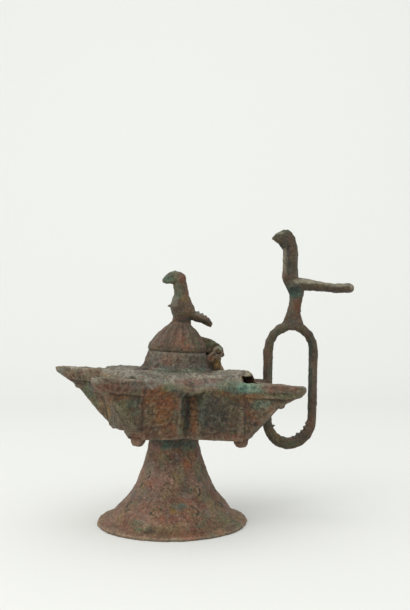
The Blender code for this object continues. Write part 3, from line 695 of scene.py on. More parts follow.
FOOT_LUMPS = [
    Lump(103.0, 513.0, 5.5, -0.9),
    Lump(112.0, 508.0, 4.0, -0.5),
    Lump(134.0, 528.0, 4.0, 0.5),
    Lump(150.0, 531.0, 2.0, -0.5),
    Lump(146.0, 527.0, 2.0, 0.4),
    Lump(230.0, 523.0, 3.0, 0.6),
    Lump(236.0, 516.0, 3.0, -0.4),
    Lump(243.0, 513.0, 2.5, 0.4),
    Lump(180.0, 540.5, 2.5, 0.25),
    Lump(205.0, 538.0, 2.5, -0.35),
]
FOOT_MOTIFS = (
    # height in mm, how many round the foot, bearing of one, half-width and half-height in mm
    (42.5, 5, -66.0, 2.6, 3.6),
    (31.0, 6, -98.0, 2.8, 3.8),
    (22.0, 8, -116.0, 3.0, 3.2),
    (12.5, 9, -84.0, 3.4, 2.8),
)
FOOT_PATCHES = (
    (172, 444, 13, 3.2, "deep", 0.85),
    (190, 446, 10, 3.5, "teal", 0.55),
    (166, 446, 4, 3.0, "teal", 0.5),
    (155, 447, 4, 5.0, "pink", 0.6),
    (181, 455, 2.5, 2.5, "brown", 0.6),
    (172, 460, 4, 5, "dark", 0.45),
    (162, 462, 3, 4, "green", 0.35),
    (187, 463, 4, 4, "rust", 0.55),
    (199, 470, 3.5, 7, "moss", 0.45),
    (150, 470, 4, 7, "grey", 0.45),
    (175, 470, 7, 5, "dark", 0.30),
    (150, 481, 6, 4, "red", 0.50),
    (165, 482, 6, 4, "pink", 0.40),
    (180, 480, 4, 8, "green", 0.30),
    (172, 488, 8, 3, "red", 0.35),
    (142, 493, 5, 4, "grey", 0.40),
    (141, 495, 2.5, 2, "dark", 0.45),
    (187, 493, 5, 3, "slate", 0.45),
    (205, 497, 6, 5, "moss", 0.50),
    (215, 505, 5, 4, "olive", 0.45),
    (179, 506, 5, 1.8, "teal", 0.60),
    (173, 511, 2.4, 1.6, "gold", 0.65),
    (160, 513, 6, 4, "red", 0.50),
    (187, 512, 6, 3, "red", 0.40),
    (125, 512, 8, 4, "pink", 0.35),
    (202, 517, 5, 2.5, "green", 0.45),
    (135, 524, 5, 2.2, "green", 0.50),
    (150, 530, 5, 2.0, "olive", 0.50),
    (172, 528, 9, 2.5, "ochre", 0.35),
    (195, 527, 7, 2.5, "red", 0.35),
    (222, 519, 8, 4, "moss", 0.50),
    (232, 522, 5, 3, "olive", 0.45),
    (112, 520, 7, 4, "pink", 0.40),
    (103, 516, 4, 3, "ochre", 0.40),
    (240, 517, 3, 2.5, "ochre", 0.35),
    (104, 524, 5, 3, "red", 0.60),
    (118, 531, 7, 2.4, "mauve", 0.60),
    (128, 525, 6, 2.5, "red", 0.45),
    (148, 532, 4, 2, "deep", 0.60),
    (138, 530, 3, 1.5, "green", 0.60),
    (160, 536, 12, 2, "brown", 0.60),
    (190, 534, 10, 2.6, "red", 0.60),
    (205, 530, 6, 2.0, "brown", 0.50),
    (215, 527, 7, 2.4, "umber", 0.60),
    (236, 524, 5, 3.5, "moss", 0.70),
    (232, 529, 5, 1.6, "dark", 0.60),
    (226, 521, 3, 1.2, "ochre", 0.60),
    (168, 520, 8, 3, "red", 0.50),
    (197, 519, 6, 2, "rust", 0.45),
    (211, 508, 3, 8, "ochre", 0.35),
    (120, 515, 4, 6, "ochre", 0.35),
    (144, 490, 5, 3, "dark", 0.45),
    (186, 489, 4, 3, "dark", 0.50),
    (168, 487, 5, 4, "umber", 0.50),
    (170, 500, 8, 4, "brown", 0.40),
    (155, 500, 5, 5, "mauve", 0.50),
)


def make_foot():
    obj = fine_copy("foot", "foot_casting")
    carve(obj, "foot", 100, 8, FOOT_LUMPS, ("reservoir",), 0.9, foot_relief)
    points = read_points(obj.data)
    normals = read_normals(obj.data)
    paint = mottle(points, "mauve", 110, (
        ("red", 7.0, -0.15, 0.55),
        ("umber", 5.0, 0.00, 0.55),
        ("ochre", 4.0, 0.30, 0.45),
        ("slate", 6.0, 0.20, 0.50),
        ("green", 3.6, 0.38, 0.55),
        ("dark", 3.0, 0.40, 0.35),
    ))
    flange = 1 - step(points[:, 2], 0.006, 0.010)
    paint = lay(paint, "ochre", 0.22 * flange)
    paint = lay_patches(paint, points, "foot", FOOT_PATCHES, 130)
    lines = leaf_lines(points, normals)
    paint = lay(paint, "deep", 0.75 * step(lines, 0.25, 0.8))
    paint = lay(paint, "ochre", 0.45 * step(lines, 0.04, 0.14) * (1 - step(lines, 0.2, 0.4)))
    # painted shade on the top of the foot, under the reservoir
    paint = lay(paint, "deep", 0.55 * step(points[:, 2], SEAM_HEIGHT - 0.008, SEAM_HEIGHT - 0.003))
    # painted shade along the foot's bottom edge, where it meets the floor
    paint = lay(paint, "dark", 0.7 * (1 - step(points[:, 2], 0.0003, 0.0014)))
    # painted shade inside the foot's hollow
    inside = step(-(normals[:, 2]), 0.25, 0.6) * step(points[:, 2], 0.002, 0.004)
    paint = lay(paint, "dark", 0.5 * inside)
    paint = paint_relief_shade_and_highlights(paint, hollows(obj.data))
    dress(obj, "foot", "lamp", "foot_bronze", paint)


# Reservoir

RESERVOIR_PATCHES = (
    # far-left spout
    (60, 371, 4, 3, "slate", 0.7),
    (76, 369, 10, 1.6, "pale", 0.55),
    (84, 372, 8, 3, "mauve", 0.4),
    (82, 380, 7, 3.0, "olive", 0.7),
    (79, 378, 4, 2, "dark", 0.6),
    (98, 373, 10, 3, "umber", 0.45),
    (112, 374, 9, 3, "ochre", 0.3),
    (88, 392, 5, 5, "green", 0.6),
    (95, 402, 4, 5, "moss", 0.6),
    (104, 408, 4, 8, "ochre", 0.4),
    (109, 412, 2.2, 6, "gold", 0.55),
    (113, 424, 5, 4, "slate", 0.5),
    (116, 427, 4, 2, "dark", 0.5),
    # front-left spout
    (97, 382, 6, 1.6, "pale", 0.65),
    (118, 381.5, 16, 1.0, "pale", 0.45),
    (92, 386, 3, 4, "slate", 0.6),
    (104, 388, 10, 3.5, "red", 0.85),
    (124, 388, 12, 3.5, "red", 0.60),
    (128, 384, 9, 1.6, "dark", 0.40),
    (136, 386, 7, 3.5, "slate", 0.45),
    (119, 397, 12, 2.5, "rust", 0.45),
    (134, 394, 8, 2.0, "olive", 0.6),
    (136, 403, 6, 3.0, "teal", 0.5),
    (126, 404, 7, 3.5, "moss", 0.55),
    (122, 411, 8, 4, "olive", 0.5),
    (137, 413, 5, 3, "green", 0.45),
    (134, 425, 8, 6, "olive", 0.45),
    (140, 420, 6, 6, "umber", 0.4),
    (138, 440, 7, 4, "red", 0.6),
    # left panel
    (150, 388, 7, 4, "red", 0.55),
    (154, 400, 9, 7, "rust", 0.6),
    (167, 404, 7, 8, "rust", 0.6),
    (163, 418, 8, 7, "orange", 0.5),
    (150, 416, 4, 10, "olive", 0.5),
    (155, 431, 10, 5, "brown", 0.5),
    (168, 431, 6, 5, "rust", 0.5),
    (165, 389, 4, 2, "gold", 0.6),
    (171, 388, 4, 2, "green", 0.6),
    (178, 390, 5, 2, "deep", 0.7),
    (148, 434, 6, 3, "red", 0.5),
    # groove and ridge
    # painted shade in the groove, whose side is turned from the light
    (184, 402, 3.0, 10, "deep", 0.75),
    (187, 418, 3.0, 10, "deep", 0.7),
    (183, 428, 3.0, 6, "olive", 0.6),
    (180, 431, 1.2, 2, "dust_and_light", 0.7),
    (194, 408, 2.6, 8, "rust", 0.6),
    (195, 423, 3.0, 8, "orange", 0.6),
    (194, 434, 4, 4, "red", 0.5),
    # right panel
    (200, 393, 3, 3, "ochre", 0.4),
    (204, 402, 5, 7, "moss", 0.55),
    (212, 398, 5, 4, "dark", 0.5),
    (218, 394, 4, 3, "ochre", 0.4),
    (224, 393, 5, 3.5, "orange", 0.5),
    (214, 411, 9, 8, "deep", 0.60),
    (213, 422, 10, 7, "dark", 0.65),
    (226, 414, 8, 5, "dark", 0.45),
    (204, 417, 4, 5, "teal", 0.40),
    (230, 403, 5, 3, "deep", 0.40),
    (228, 405, 6, 5, "olive", 0.6),
    (236, 397, 7, 3, "gold", 0.45),
    (250, 398, 9, 3, "orange", 0.55),
    (247, 408, 3.2, 3.2, "red", 0.75),
    (262, 404, 6, 3.5, "verdigris", 0.50),
    (256, 409, 5, 3, "green", 0.45),
    (236, 415, 5, 4, "ochre", 0.45),
    (251, 416, 4, 4, "orange", 0.5),
    (233, 426, 8, 5, "olive", 0.5),
    (246, 424, 6, 6, "brown", 0.5),
    (228, 430, 13, 4.0, "dark", 0.45),
    (228, 437, 14, 2.0, "red", 0.45),
    (210, 434, 10, 3, "brown", 0.5),
    (242, 443, 7, 4, "red", 0.6),
    (262, 414, 5, 5, "brown", 0.5),
    # painted shade over the right panel, which is turned from the light
    (222, 412, 17, 13, "black", 0.44),
    (252, 412, 10, 9, "black", 0.18),
    # verdigris below the right rim
    (226, 384, 8, 3.2, "green", 0.6),
    (233, 389, 8, 3.0, "teal", 0.65),
    (250, 388, 9, 3.6, "verdigris", 0.70),
    (243, 384, 7, 2.0, "verdigris", 0.50),
    (262, 388, 6, 3, "teal", 0.6),
    (214, 384, 6, 2.5, "slate", 0.5),
    # right spout
    (276, 388, 10, 2.6, "red", 0.65),
    (292, 388.5, 6, 2.4, "red", 0.60),
    (292, 389, 2.0, 1.2, "pink", 0.85),
    (303, 391, 4, 4, "olive", 0.5),
    (285, 396, 9, 2.6, "moss", 0.55),
    (272, 396, 8, 2.6, "olive", 0.5),
    (280, 402, 6, 3, "umber", 0.5),
    (285, 383.5, 20, 0.9, "ochre", 0.5),
    (268, 383.2, 12, 0.9, "dust_and_light", 0.45),
    # cover's front edge
    (152, 381, 7, 3, "dust_and_light", 0.6),
    (150, 386, 5, 2, "grey", 0.6),
    (168, 380, 10, 2, "dust_and_light", 0.5),
    (183, 384, 8, 3, "pink", 0.60),
    (200, 380.5, 12, 2.2, "pink", 0.50),
    (188, 388, 5, 2, "ochre", 0.4),
    (172, 386, 7, 2.4, "green", 0.45),
    (196, 377, 14, 1.4, "dust_and_light", 0.6),
    (230, 375, 12, 2.2, "pale", 0.50),
    (128, 373, 10, 2.4, "pale", 0.75),
    (112, 371, 10, 1.6, "pale", 0.45),
    # hood over the right port
    # painted highlights on the hood's top
    (232, 369, 12, 2, "pale", 0.90),
    (236, 373, 8, 2, "pale", 0.70),
    (243, 371, 5, 2, "grey", 0.4),
    (242.5, 379, 1.6, 4, "brown", 0.75),
    (251, 373, 4, 1.5, "ochre", 0.4),
    # collar
    (155, 356, 7, 6, "grey", 0.5),
    (172, 356, 8, 5, "mauve", 0.45),
    (190, 355, 9, 4, "slate", 0.40),
    (200, 366, 12, 3, "slate", 0.5),
    (176, 363, 14, 3, "dark", 0.35),
    (168, 368, 8, 2, "slate", 0.5),
    (182, 371, 22, 1.6, "green", 0.45),
    # painted shade across the middle of the collar
    (174, 356, 10, 6, "black", 0.26),
    (172, 358, 9, 4, "umber", 0.5),
    (190, 358, 8, 4, "brown", 0.4),
    (160, 350, 8, 1.5, "slate", 0.4),
    (166, 362, 4, 3, "red", 0.4),
    (217, 350, 3.5, 3.5, "moss", 0.75),
    (220, 347, 2.0, 2.0, "verdigris", 0.45),
    (219.5, 353, 1.4, 1.4, "black", 0.85),
    (213, 352, 2.5, 3, "umber", 0.6),
    (216, 357, 2.5, 2, "dark", 0.6),
    (215, 362, 4, 4.5, "dark", 0.6),
    (216, 364, 2.6, 3.0, "gold", 0.75),
    (212, 359, 3.0, 3.0, "rust", 0.5),
    (222, 367, 3, 2, "orange", 0.5),
)
PANEL_RINGS = (
    # worn circles in relief: pixel of the centre, radius in mm
    (163, 416, 5.0),
    (231, 418, 6.5),
    (127, 411, 3.6),
    (212, 424, 5.0),
)
WALL_BANDS = (0.0085, 0.0265)  # heights over the seam of two worn lines along the walls
PANEL_START = (0.002, 0.004)  # heights over the seam between which each of these sets in
PANEL_END = (0.021, 0.024)
DUST_AND_LIGHT_START = (0.026, 0.029)
ROUGH_START = (0.031, 0.036)
COLLAR_START = (0.0365, 0.0385)
COLLAR_RADII = (0.0215, 0.0245)  # between these the collar turns into the cover
MOUTH_RADII = (0.014, 0.0155)
CHAMBER_START = (0.004, 0.006)
SEAT_DEPTH = 0.0007  # of the collar's skin that is pressed level
SEAT_RISE = 0.00002


def reservoir_relief(points, normals):
    """Worn circles, scrolls and lines on the side panels, and rougher skin from the cover up."""
    out = np.zeros(len(points))
    upright = 1 - step(np.abs(normals[:, 2]), 0.35, 0.6)
    wear = 0.35 + 0.65 * step(noise(points, 5 * MM, 271, 3), -0.3, 0.4)
    for x, y, radius in PANEL_RINGS:
        centre = np.array(spot("reservoir", x, y))
        apart = np.linalg.norm(points - centre, axis=1)
        ring = np.exp(-(((apart - radius * MM) / (0.75 * MM)) ** 2))
        boss = np.exp(-((apart / (1.6 * MM)) ** 2))
        out += (0.28 * ring + 0.22 * boss) * MM * upright * wear
    height = points[:, 2] - SEAM_HEIGHT
    scroll = noise(points, 4.5 * MM, 281, 2)
    lines = np.exp(-((scroll / 0.12) ** 2))
    panel = step(height, *PANEL_START) * (1 - step(height, *PANEL_END)) * upright
    out -= 0.20 * MM * lines * panel * wear
    for level in WALL_BANDS:
        line = np.exp(-(((height - level) / (0.55 * MM)) ** 2))
        out -= 0.16 * MM * line * upright * wear
    rough = step(height, *ROUGH_START)
    out += 0.30 * MM * rough * noise(points, 2.4 * MM, 291, 4, 0.7)
    return out


def flat_seat(points):
    """Presses the collar's top flat and crisp where the lid rests on it."""
    local = lamp_frame(points)
    radius = np.hypot(local[:, 0], local[:, 1])
    top = (local[:, 2] > SEAT_HEIGHT - SEAT_DEPTH) & clear_of_hinge(local)
    top &= (radius > SEAT_RADII[0]) & (radius < SEAT_RADII[1])
    local[top, 2] = SEAT_HEIGHT + SEAT_RISE
    return from_lamp_frame(local)


def make_reservoir():
    obj = fine_copy("reservoir", "reservoir_casting")
    carve(obj, "reservoir", 200, 3, RESERVOIR_LUMPS, ("foot", "handle", "lid", "hinge_pin"), 1.0,
          reservoir_relief, flat_seat)
    points = read_points(obj.data)
    normals = read_normals(obj.data)
    away = points - np.array(AXIS)
    radius = np.hypot(away[:, 0], away[:, 1])
    height = points[:, 2] - SEAM_HEIGHT
    paint = mottle(points, "umber", 210, (
        ("red", 7.5, -0.05, 0.60),
        ("olive", 6.0, 0.00, 0.55),
        ("rust", 4.5, 0.25, 0.50),
        ("moss", 4.0, 0.25, 0.55),
        ("dark", 3.4, 0.30, 0.45),
        ("ochre", 3.0, 0.42, 0.50),
        ("teal", 3.6, 0.48, 0.55),
    ))
    paint = lay(paint, "brown", 0.45 * (1 - step(height, 0.001, 0.006)))
    # dust and painted top light on the upward faces of the cover
    dust_and_light = dust_and_top_light(points, normals, 230) * step(height, *DUST_AND_LIGHT_START)
    paint = lay(paint, "grey", 0.75 * dust_and_light)
    paint = lay(paint, "pale", 0.85 * dust_and_light * step(noise(points, 5 * MM, 233, 4), -0.1, 0.5))
    paint = lay(paint, "umber", 0.45 * dust_and_light * step(noise(points, 3 * MM, 234, 4), 0.1, 0.5))
    collar = (1 - step(radius, *COLLAR_RADII)) * step(height, *COLLAR_START)
    paint = lay(paint, "slate", 0.35 * collar * step(noise(points, 4 * MM, 236, 4), -0.3, 0.3))
    paint = lay(paint, "mauve", 0.35 * collar * step(noise(points, 5 * MM, 238, 4), -0.1, 0.4))
    # painted shade over the whole collar
    paint = lay(paint, "black", 0.32 * collar)
    paint = lay_patches(paint, points, "reservoir", RESERVOIR_PATCHES, 240)
    # painted shade inside the chamber, within the mouth
    inside = (1 - step(radius, *MOUTH_RADII)) * step(height, *CHAMBER_START)
    paint = lay(paint, "dark", 0.8 * inside)
    paint = paint_relief_shade_and_highlights(paint, hollows(obj.data))
    dress(obj, "reservoir", "lamp", "body_bronze", paint)


# Lid

DOME_TOP = 0.0668
DOME_RADIUS = 0.0185
DOME_FADE = (0.0065, 0.0115)  # radii between which the grooves fade in from the top
HOLLOW_RADIUS = 0.0150
HOLLOW_TOP = 0.062
GORES = 16
RIM_DEPTH = 0.0006  # of the dome's skin that is pressed level
RIM_MARGIN = 0.0004  # past the seat, inwards and outwards
RIM_RISE = 0.00018


def lid_relief(points, normals):
    """Deeper, narrower grooves between the dome's rounded gores, and a rougher skin."""
    local = lamp_frame(points)
    radius = np.hypot(local[:, 0], local[:, 1])
    angle = np.arctan2(local[:, 1], local[:, 0])
    groove = np.abs(np.cos(angle * GORES / 2))
    dome = step(local[:, 2], DOME_BASE + 0.0005, DOME_BASE + 0.004)
    dome *= 1 - step(local[:, 2], DOME_TOP - 0.003, DOME_TOP)
    dome *= (radius < DOME_RADIUS) * step(radius, *DOME_FADE) * (normals[:, 2] > -0.3)
    wear = 0.35 + 0.65 * step(noise(points, 5 * MM, 371, 3), -0.4, 0.4)
    gores = 0.22 * np.sqrt(1 - groove) - 0.20 * np.exp(-(((1 - groove) / 0.10) ** 2)) * wear
    rough = 0.22 * noise(points, 2.2 * MM, 391, 4, 0.7)
    return (gores * dome + rough) * MM


LID_PATCHES = (
    (171, 276, 6, 4, "green", 0.5),
    (165, 280, 4, 3, "verdigris", 0.4),
    (170, 275, 3, 2, "deep", 0.35),
    (182, 278, 2.5, 5, "red", 0.6),
    (179, 290, 4, 6, "moss", 0.5),
    (175, 296, 2.5, 5, "verdigris", 0.35),
    (181, 308, 5, 5, "black", 0.50),
    (186, 305, 5, 5, "brown", 0.5),
    # painted highlights down the bird's neck, on its left side
    (175, 301, 2.0, 5, "pale", 0.40),
    (178, 288, 2.0, 5, "dust_and_light", 0.35),
    (190, 313, 4, 3, "ochre", 0.35),
    (170.3, 306, 1.0, 1.0, "black", 0.9),
    (172, 313, 4, 3, "slate", 0.5),
    (202, 313.5, 7, 1.4, "dust_and_light", 0.70),
    (206, 318, 4, 1.8, "mauve", 0.5),
    (209, 319, 2, 3, "red", 0.5),
    (203, 321.5, 8, 1.4, "black", 0.75),
    (184, 320, 6, 2.0, "black", 0.55),
    (192, 318, 4, 1.5, "black", 0.6),
    # painted highlight along the neck's left edge
    (171, 301, 1.2, 7, "dust_and_light", 0.60),
    (186, 299, 3, 3, "ochre", 0.45),
    (189, 309, 3, 3, "brown", 0.6),
    (152, 340, 6, 8, "grey", 0.45),
    (160, 337, 6, 8, "mauve", 0.4),
    (170, 332, 4, 8, "umber", 0.4),
    (180, 336, 6, 8, "red", 0.45),
    (183, 343, 6, 4, "rust", 0.35),
    # painted shade on the dome's right side, away from the light
    (199, 338, 6, 10, "black", 0.34),
    (189, 330, 5, 5, "black", 0.16),
    (192, 338, 5, 6, "olive", 0.45),
    (197, 330, 4, 5, "moss", 0.45),
    (199, 346, 4, 3, "moss", 0.6),
    (205, 343, 4, 4, "olive", 0.5),
    (206, 350, 2, 3, "black", 0.7),
    (212, 344, 5, 4, "moss", 0.6),
    (218, 350, 4, 4, "green", 0.6),
    (219, 353, 1.5, 1.5, "black", 0.7),
    (211, 352, 4, 3, "umber", 0.5),
    (210, 357, 4, 2.5, "rust", 0.5),
)


def flat_rim(points):
    """Presses the dome's underside flat, just clear of the collar."""
    local = lamp_frame(points)
    radius = np.hypot(local[:, 0], local[:, 1])
    rim = (local[:, 2] < DOME_BASE + RIM_DEPTH) & clear_of_hinge(local)
    rim &= (radius > SEAT_RADII[0] - RIM_MARGIN) & (radius < SEAT_RADII[1] + RIM_MARGIN)
    local[rim, 2] = SEAT_HEIGHT + RIM_RISE
    return from_lamp_frame(local)


def make_lid():
    obj = fine_copy("lid", "lid_casting")
    carve(obj, "lid", 300, 2, LID_LUMPS, ("reservoir", "hinge_pin"), 0.85, lid_relief, flat_rim)
    points = read_points(obj.data)
    normals = read_normals(obj.data)
    local = lamp_frame(points)
    paint = mottle(points, "umber", 310, (
        ("mauve", 6.0, -0.10, 0.50),
        ("brown", 5.0, 0.05, 0.50),
        ("moss", 3.5, 0.25, 0.50),
        ("red", 3.5, 0.30, 0.45),
        ("slate", 4.0, 0.25, 0.40),
        ("dark", 2.6, 0.35, 0.35),
    ))
    # dust and painted top light on the upward faces
    paint = lay(paint, "grey", 0.35 * dust_and_top_light(points, normals, 330))
    paint = lay_patches(paint, points, "lid", LID_PATCHES, 340)
    rim = np.exp(-(((local[:, 2] - DOME_BASE) / (0.7 * MM)) ** 2))
    paint = lay(paint, "dark", 0.6 * rim)
    # painted shade inside the lid's hollow
    inside = (np.hypot(local[:, 0], local[:, 1]) < HOLLOW_RADIUS) & (normals[:, 2] < 0.1)
    inside &= local[:, 2] < HOLLOW_TOP
    paint = lay(paint, "dark", 0.7 * inside)
    paint = paint_relief_shade_and_highlights(paint, hollows(obj.data))
    dress(obj, "lid", "lid", "lid_bronze", paint)


# Hinge pin

PIN_SPREAD = 0.30
SPREAD_START = (0.0031, 0.0036)  # from the pin's middle, just inside the ears


def upset_ends(points):
    """Spreads the pin inside its two ears, as riveting did, and leaves it slim in the lid's tongue."""
    local = lamp_frame(points)
    middle = (local.min(axis=0) + local.max(axis=0)) / 2
    spread = 1 + PIN_SPREAD * step(np.abs(local[:, 1] - middle[1]), *SPREAD_START)
    local[:, 0] = middle[0] + (local[:, 0] - middle[0]) * spread
    local[:, 2] = middle[2] + (local[:, 2] - middle[2]) * spread
    return from_lamp_frame(local)


def make_pin():
    obj = fine_copy("hinge_pin", "hinge_pin_rod")
    carve(obj, "hinge_pin", 400, 3, strength=0.25, others=("lid",), fit=upset_ends)
    points = read_points(obj.data)
    paint = mottle(points, "dark", 410, (("moss", 2.0, 0.0, 0.6), ("rust", 1.5, 0.2, 0.5)))
    dress(obj, "hinge_pin", "lamp", "pin_bronze", paint)


# Handle

HANDLE_PATCHES = (
    (282, 240, 7, 7, "dark", 0.55),
    (284, 247, 4, 5, "deep", 0.60),
    (278, 236, 4, 2.5, "moss", 0.5),
    (286, 232, 5, 3, "green", 0.35),
    (276, 240, 3, 3, "umber", 0.4),
    (293, 240, 3, 6, "brown", 0.5),
    # painted highlight down the neck's left edge
    (284.5, 260, 1.6, 9, "painted_highlight", 0.40),
    (288.5, 260, 1.5, 9, "black", 0.55),
    (290, 268, 1.6, 6, "deep", 0.60),
    (294, 258, 2.4, 8, "olive", 0.5),
    (282.5, 275, 1.8, 4, "pink", 0.60),
    # painted highlight along the head's top
    (278, 233, 4.0, 1.0, "painted_highlight", 0.35),
    (296.5, 262, 0.9, 14, "dust_and_light", 0.50),
    (295, 250, 2.0, 5, "brown", 0.6),
    (287, 281, 3, 3, "dark", 0.5),
    (286, 285, 3, 1.4, "black", 0.6),
    (290, 285, 5, 3, "grey", 0.35),
    # painted highlights along the tail's top edge and at its end
    (305, 281, 10, 1.7, "painted_highlight", 0.60),
    (325, 282.5, 11, 1.5, "painted_highlight", 0.55),
    (312, 289, 12, 1.6, "brown", 0.6),
    (335, 290, 10, 1.6, "brown", 0.6),
    (338, 284.5, 9, 1.6, "painted_highlight", 0.60),
    (352, 287, 2.2, 3, "painted_highlight", 0.70),
    (347, 284.5, 5, 1.2, "pale", 0.60),
    (349, 283.5, 5, 0.8, "black", 0.55),
    (325, 292, 20, 1.4, "dark", 0.60),
    (295, 292, 6, 4.0, "teal", 0.80),
    (296, 290, 6, 2.5, "deep", 0.70),
    (293, 297, 3, 3, "teal", 0.45),
    (297, 306, 4, 5, "rust", 0.55),
    (291, 306, 2.0, 6, "dust_and_light", 0.35),
    (290, 313, 3, 5, "brown", 0.4),
    (302, 313, 3, 4, "mauve", 0.4),
    (293, 323, 6, 3, "slate", 0.35),
    (300, 322, 5, 2, "mauve", 0.35),
    (276, 332, 5, 4, "moss", 0.45),
    (272, 342, 3, 7, "olive", 0.5),
    (276, 345, 1.6, 8, "deep", 0.5),
    (266, 352, 2, 8, "umber", 0.5),
    (268, 362, 2, 9, "red", 0.45),
    (270, 372, 1.6, 8, "green", 0.5),
    (264, 376, 3, 4, "dark", 0.5),
    (308, 335, 4, 6, "brown", 0.45),
    (314, 350, 2.2, 10, "dark", 0.45),
    (315, 375, 1.6, 16, "umber", 0.45),
    (309.8, 350, 1.8, 12, "deep", 0.85),
    (309.4, 375, 1.8, 14, "teal", 0.55),
    (309.6, 377, 1.4, 16, "deep", 0.60),
    (308.6, 400, 1.8, 14, "deep", 0.80),
    (312, 405, 2.2, 10, "brown", 0.45),
    (311, 424, 3, 8, "red", 0.40),
    (268, 422, 2, 5, "deep", 0.55),
    (272, 428, 2.4, 4, "olive", 0.5),
    (276, 436, 4, 3, "gold", 0.4),
    (273, 437, 2.5, 3, "deep", 0.45),
    (284, 441, 4, 3, "olive", 0.5),
    (291, 444, 5, 2.5, "moss", 0.45),
    (300, 436, 5, 3, "dark", 0.55),
    (304, 432, 3, 3, "brown", 0.5),
)
RING_FOOT = (0.050, 0.062)  # heights between which the ragged metal inside the ring ends


def handle_relief(points, normals):
    """Ragged metal inside the foot of the ring, and a faint ridge down the rod's sides."""
    ring = step(np.abs(normals[:, 1]), 0.2, 0.9)
    low = 1 - step(points[:, 2], *RING_FOOT)
    ragged = low * step(normals[:, 2], 0.1, 0.7)
    return (0.55 * ragged * np.abs(noise(points, 3.0 * MM, 571, 3)) + 0.10 * ring) * MM


def make_handle():
    obj = fine_copy("handle", "handle_casting")
    carve(obj, "handle", 500, 3, HANDLE_LUMPS, ("reservoir",), 0.85, handle_relief)
    points = read_points(obj.data)
    normals = read_normals(obj.data)
    paint = mottle(points, "umber", 510, (
        ("olive", 6.0, -0.10, 0.60),
        ("brown", 5.0, 0.05, 0.55),
        ("red", 5.0, 0.25, 0.45),
        ("moss", 3.6, 0.25, 0.50),
        ("grey", 3.0, 0.45, 0.35),
        ("dark", 2.6, 0.30, 0.45),
    ))
    paint = lay_patches(paint, points, "handle", HANDLE_PATCHES, 540)
    # dust and painted top light on the upward faces
    paint = lay(paint, "grey", 0.25 * dust_and_top_light(points, normals, 550))
    paint = paint_relief_shade_and_highlights(paint, hollows(obj.data))
    dress(obj, "handle", "lamp", "handle_bronze", paint)


# Studio

PAPER_ROUGHNESS = 0.95
FLOOR_FRONT = -2.0
FLOOR_BACK = 0.6
BEND = 1.2  # radius of the sheet's bend
BEND_STEPS = 16
WALL_TOP = 4.0
HALF_WIDTH = 3.0
PAPER_TINT = (1.0, 1.002, 0.962)
PAPER_SHADES = (0.715, 0.90)  # on the floor and on the wall, to look even under these lights
SHADE_EASE = 0.8


def paper():
    """The backdrop's matt paper, in the colours of its vertices."""
    material = bpy.data.materials.new("backdrop_paper")
    material.use_nodes = True
    tree = material.node_tree
    shader = tree.nodes["Principled BSDF"]
    shader.inputs["Roughness"].default_value = PAPER_ROUGHNESS
    shader.inputs["Specular IOR Level"].default_value = 0.0
    tint = tree.nodes.new("ShaderNodeAttribute")
    tint.attribute_name = "tint"
    link(tree, tint, "Color", shader, "Base Color")
    return material


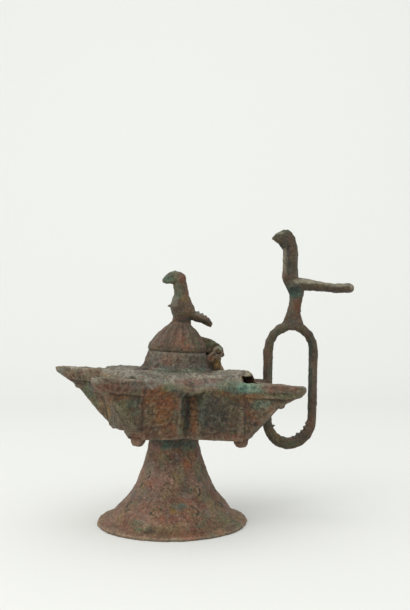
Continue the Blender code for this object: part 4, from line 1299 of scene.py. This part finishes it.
def make_backdrop():
    """A pale sheet that runs level under the lamp and curves up behind it, square to the camera."""
    profile = [(FLOOR_FRONT, 0.0, 0.0)]
    for i in range(BEND_STEPS + 1):
        turn = 90 * i / BEND_STEPS
        angle = math.radians(turn)
        back = FLOOR_BACK + BEND * math.sin(angle)
        profile.append((back, BEND * (1 - math.cos(angle)), turn / 90))
    profile.append((FLOOR_BACK + BEND, WALL_TOP, 1.0))
    bm = bmesh.new()
    rows = []
    for side in (-HALF_WIDTH, HALF_WIDTH):
        row = []
        for back, height, _ in profile:
            place = AXIS + FORWARD * back + RIGHT * side
            row.append(bm.verts.new((place.x, place.y, height)))
        rows.append(row)
    for i in range(len(profile) - 1):
        bm.faces.new((rows[0][i], rows[1][i], rows[1][i + 1], rows[0][i + 1]))
    mesh = bpy.data.meshes.new("backdrop")
    bm.to_mesh(mesh)
    bm.free()
    mesh.shade_smooth()
    shares = np.array([share for _, _, share in profile] * 2)
    shade = PAPER_SHADES[0] + (PAPER_SHADES[1] - PAPER_SHADES[0]) * shares**SHADE_EASE
    tints = np.ones((len(shares), 4), np.float32)
    tints[:, :3] = shade[:, None] * np.array(PAPER_TINT)
    layer = mesh.color_attributes.new("tint", "FLOAT_COLOR", "POINT")
    layer.data.foreach_set("color", tints.ravel())
    mesh.materials.append(paper())
    obj = bpy.data.objects.new("backdrop", mesh)
    bpy.context.scene.collection.objects.link(obj)


def area_light(name, place, target, size, watts, colour=(1.0, 1.0, 1.0)):
    light = bpy.data.lights.new(name, "AREA")
    light.shape = "SQUARE"
    light.size = size
    light.energy = watts
    light.color = colour
    obj = bpy.data.objects.new(name, light)
    obj.location = place
    obj.rotation_euler = (Vector(target) - Vector(place)).to_track_quat("-Z", "Y").to_euler()
    bpy.context.scene.collection.objects.link(obj)


MIDDLE_HEIGHT = 0.08
SKY = (0.97, 0.99, 1.0, 1.0)
SKY_STRENGTH = 0.90
KEY_AWAY = 0.75  # to the left and to the front
KEY_RISE = 0.85
KEY_SIZE = 1.3
KEY_COLOUR = (1.0, 0.98, 0.94)
TOP_FORWARD = 0.1
TOP_RISE = 1.3
TOP_SIZE = 1.8
WATTS = 7.0  # of each of the two lights


def make_lights():
    """A pale sky, a broad key light from the front left and a broader one from above."""
    middle = AXIS + Vector((0, 0, MIDDLE_HEIGHT))
    world = bpy.data.worlds.new("studio")
    world.use_nodes = True
    background = world.node_tree.nodes["Background"]
    background.inputs["Color"].default_value = SKY
    background.inputs["Strength"].default_value = SKY_STRENGTH
    bpy.context.scene.world = world
    key = middle - RIGHT * KEY_AWAY - FORWARD * KEY_AWAY + Vector((0, 0, KEY_RISE))
    area_light("key", key, middle, KEY_SIZE, WATTS, KEY_COLOUR)
    top = middle - FORWARD * TOP_FORWARD + Vector((0, 0, TOP_RISE))
    area_light("top", top, middle, TOP_SIZE, WATTS)


def make_camera():
    data = bpy.data.cameras.new("photo_camera")
    data.lens = LENS
    data.sensor_width = SENSOR
    data.clip_start = 0.01
    data.clip_end = 20.0
    obj = bpy.data.objects.new("photo_camera", data)
    obj.location = CAMERA_PLACE
    obj.rotation_euler = (math.radians(90), 0.0, CAMERA_TURN)
    bpy.context.scene.collection.objects.link(obj)
    bpy.context.scene.camera = obj
    bpy.context.scene.view_settings.view_transform = "Standard"


make_backdrop()
make_lights()
make_camera()
make_foot()
make_reservoir()
make_lid()
make_pin()
make_handle()
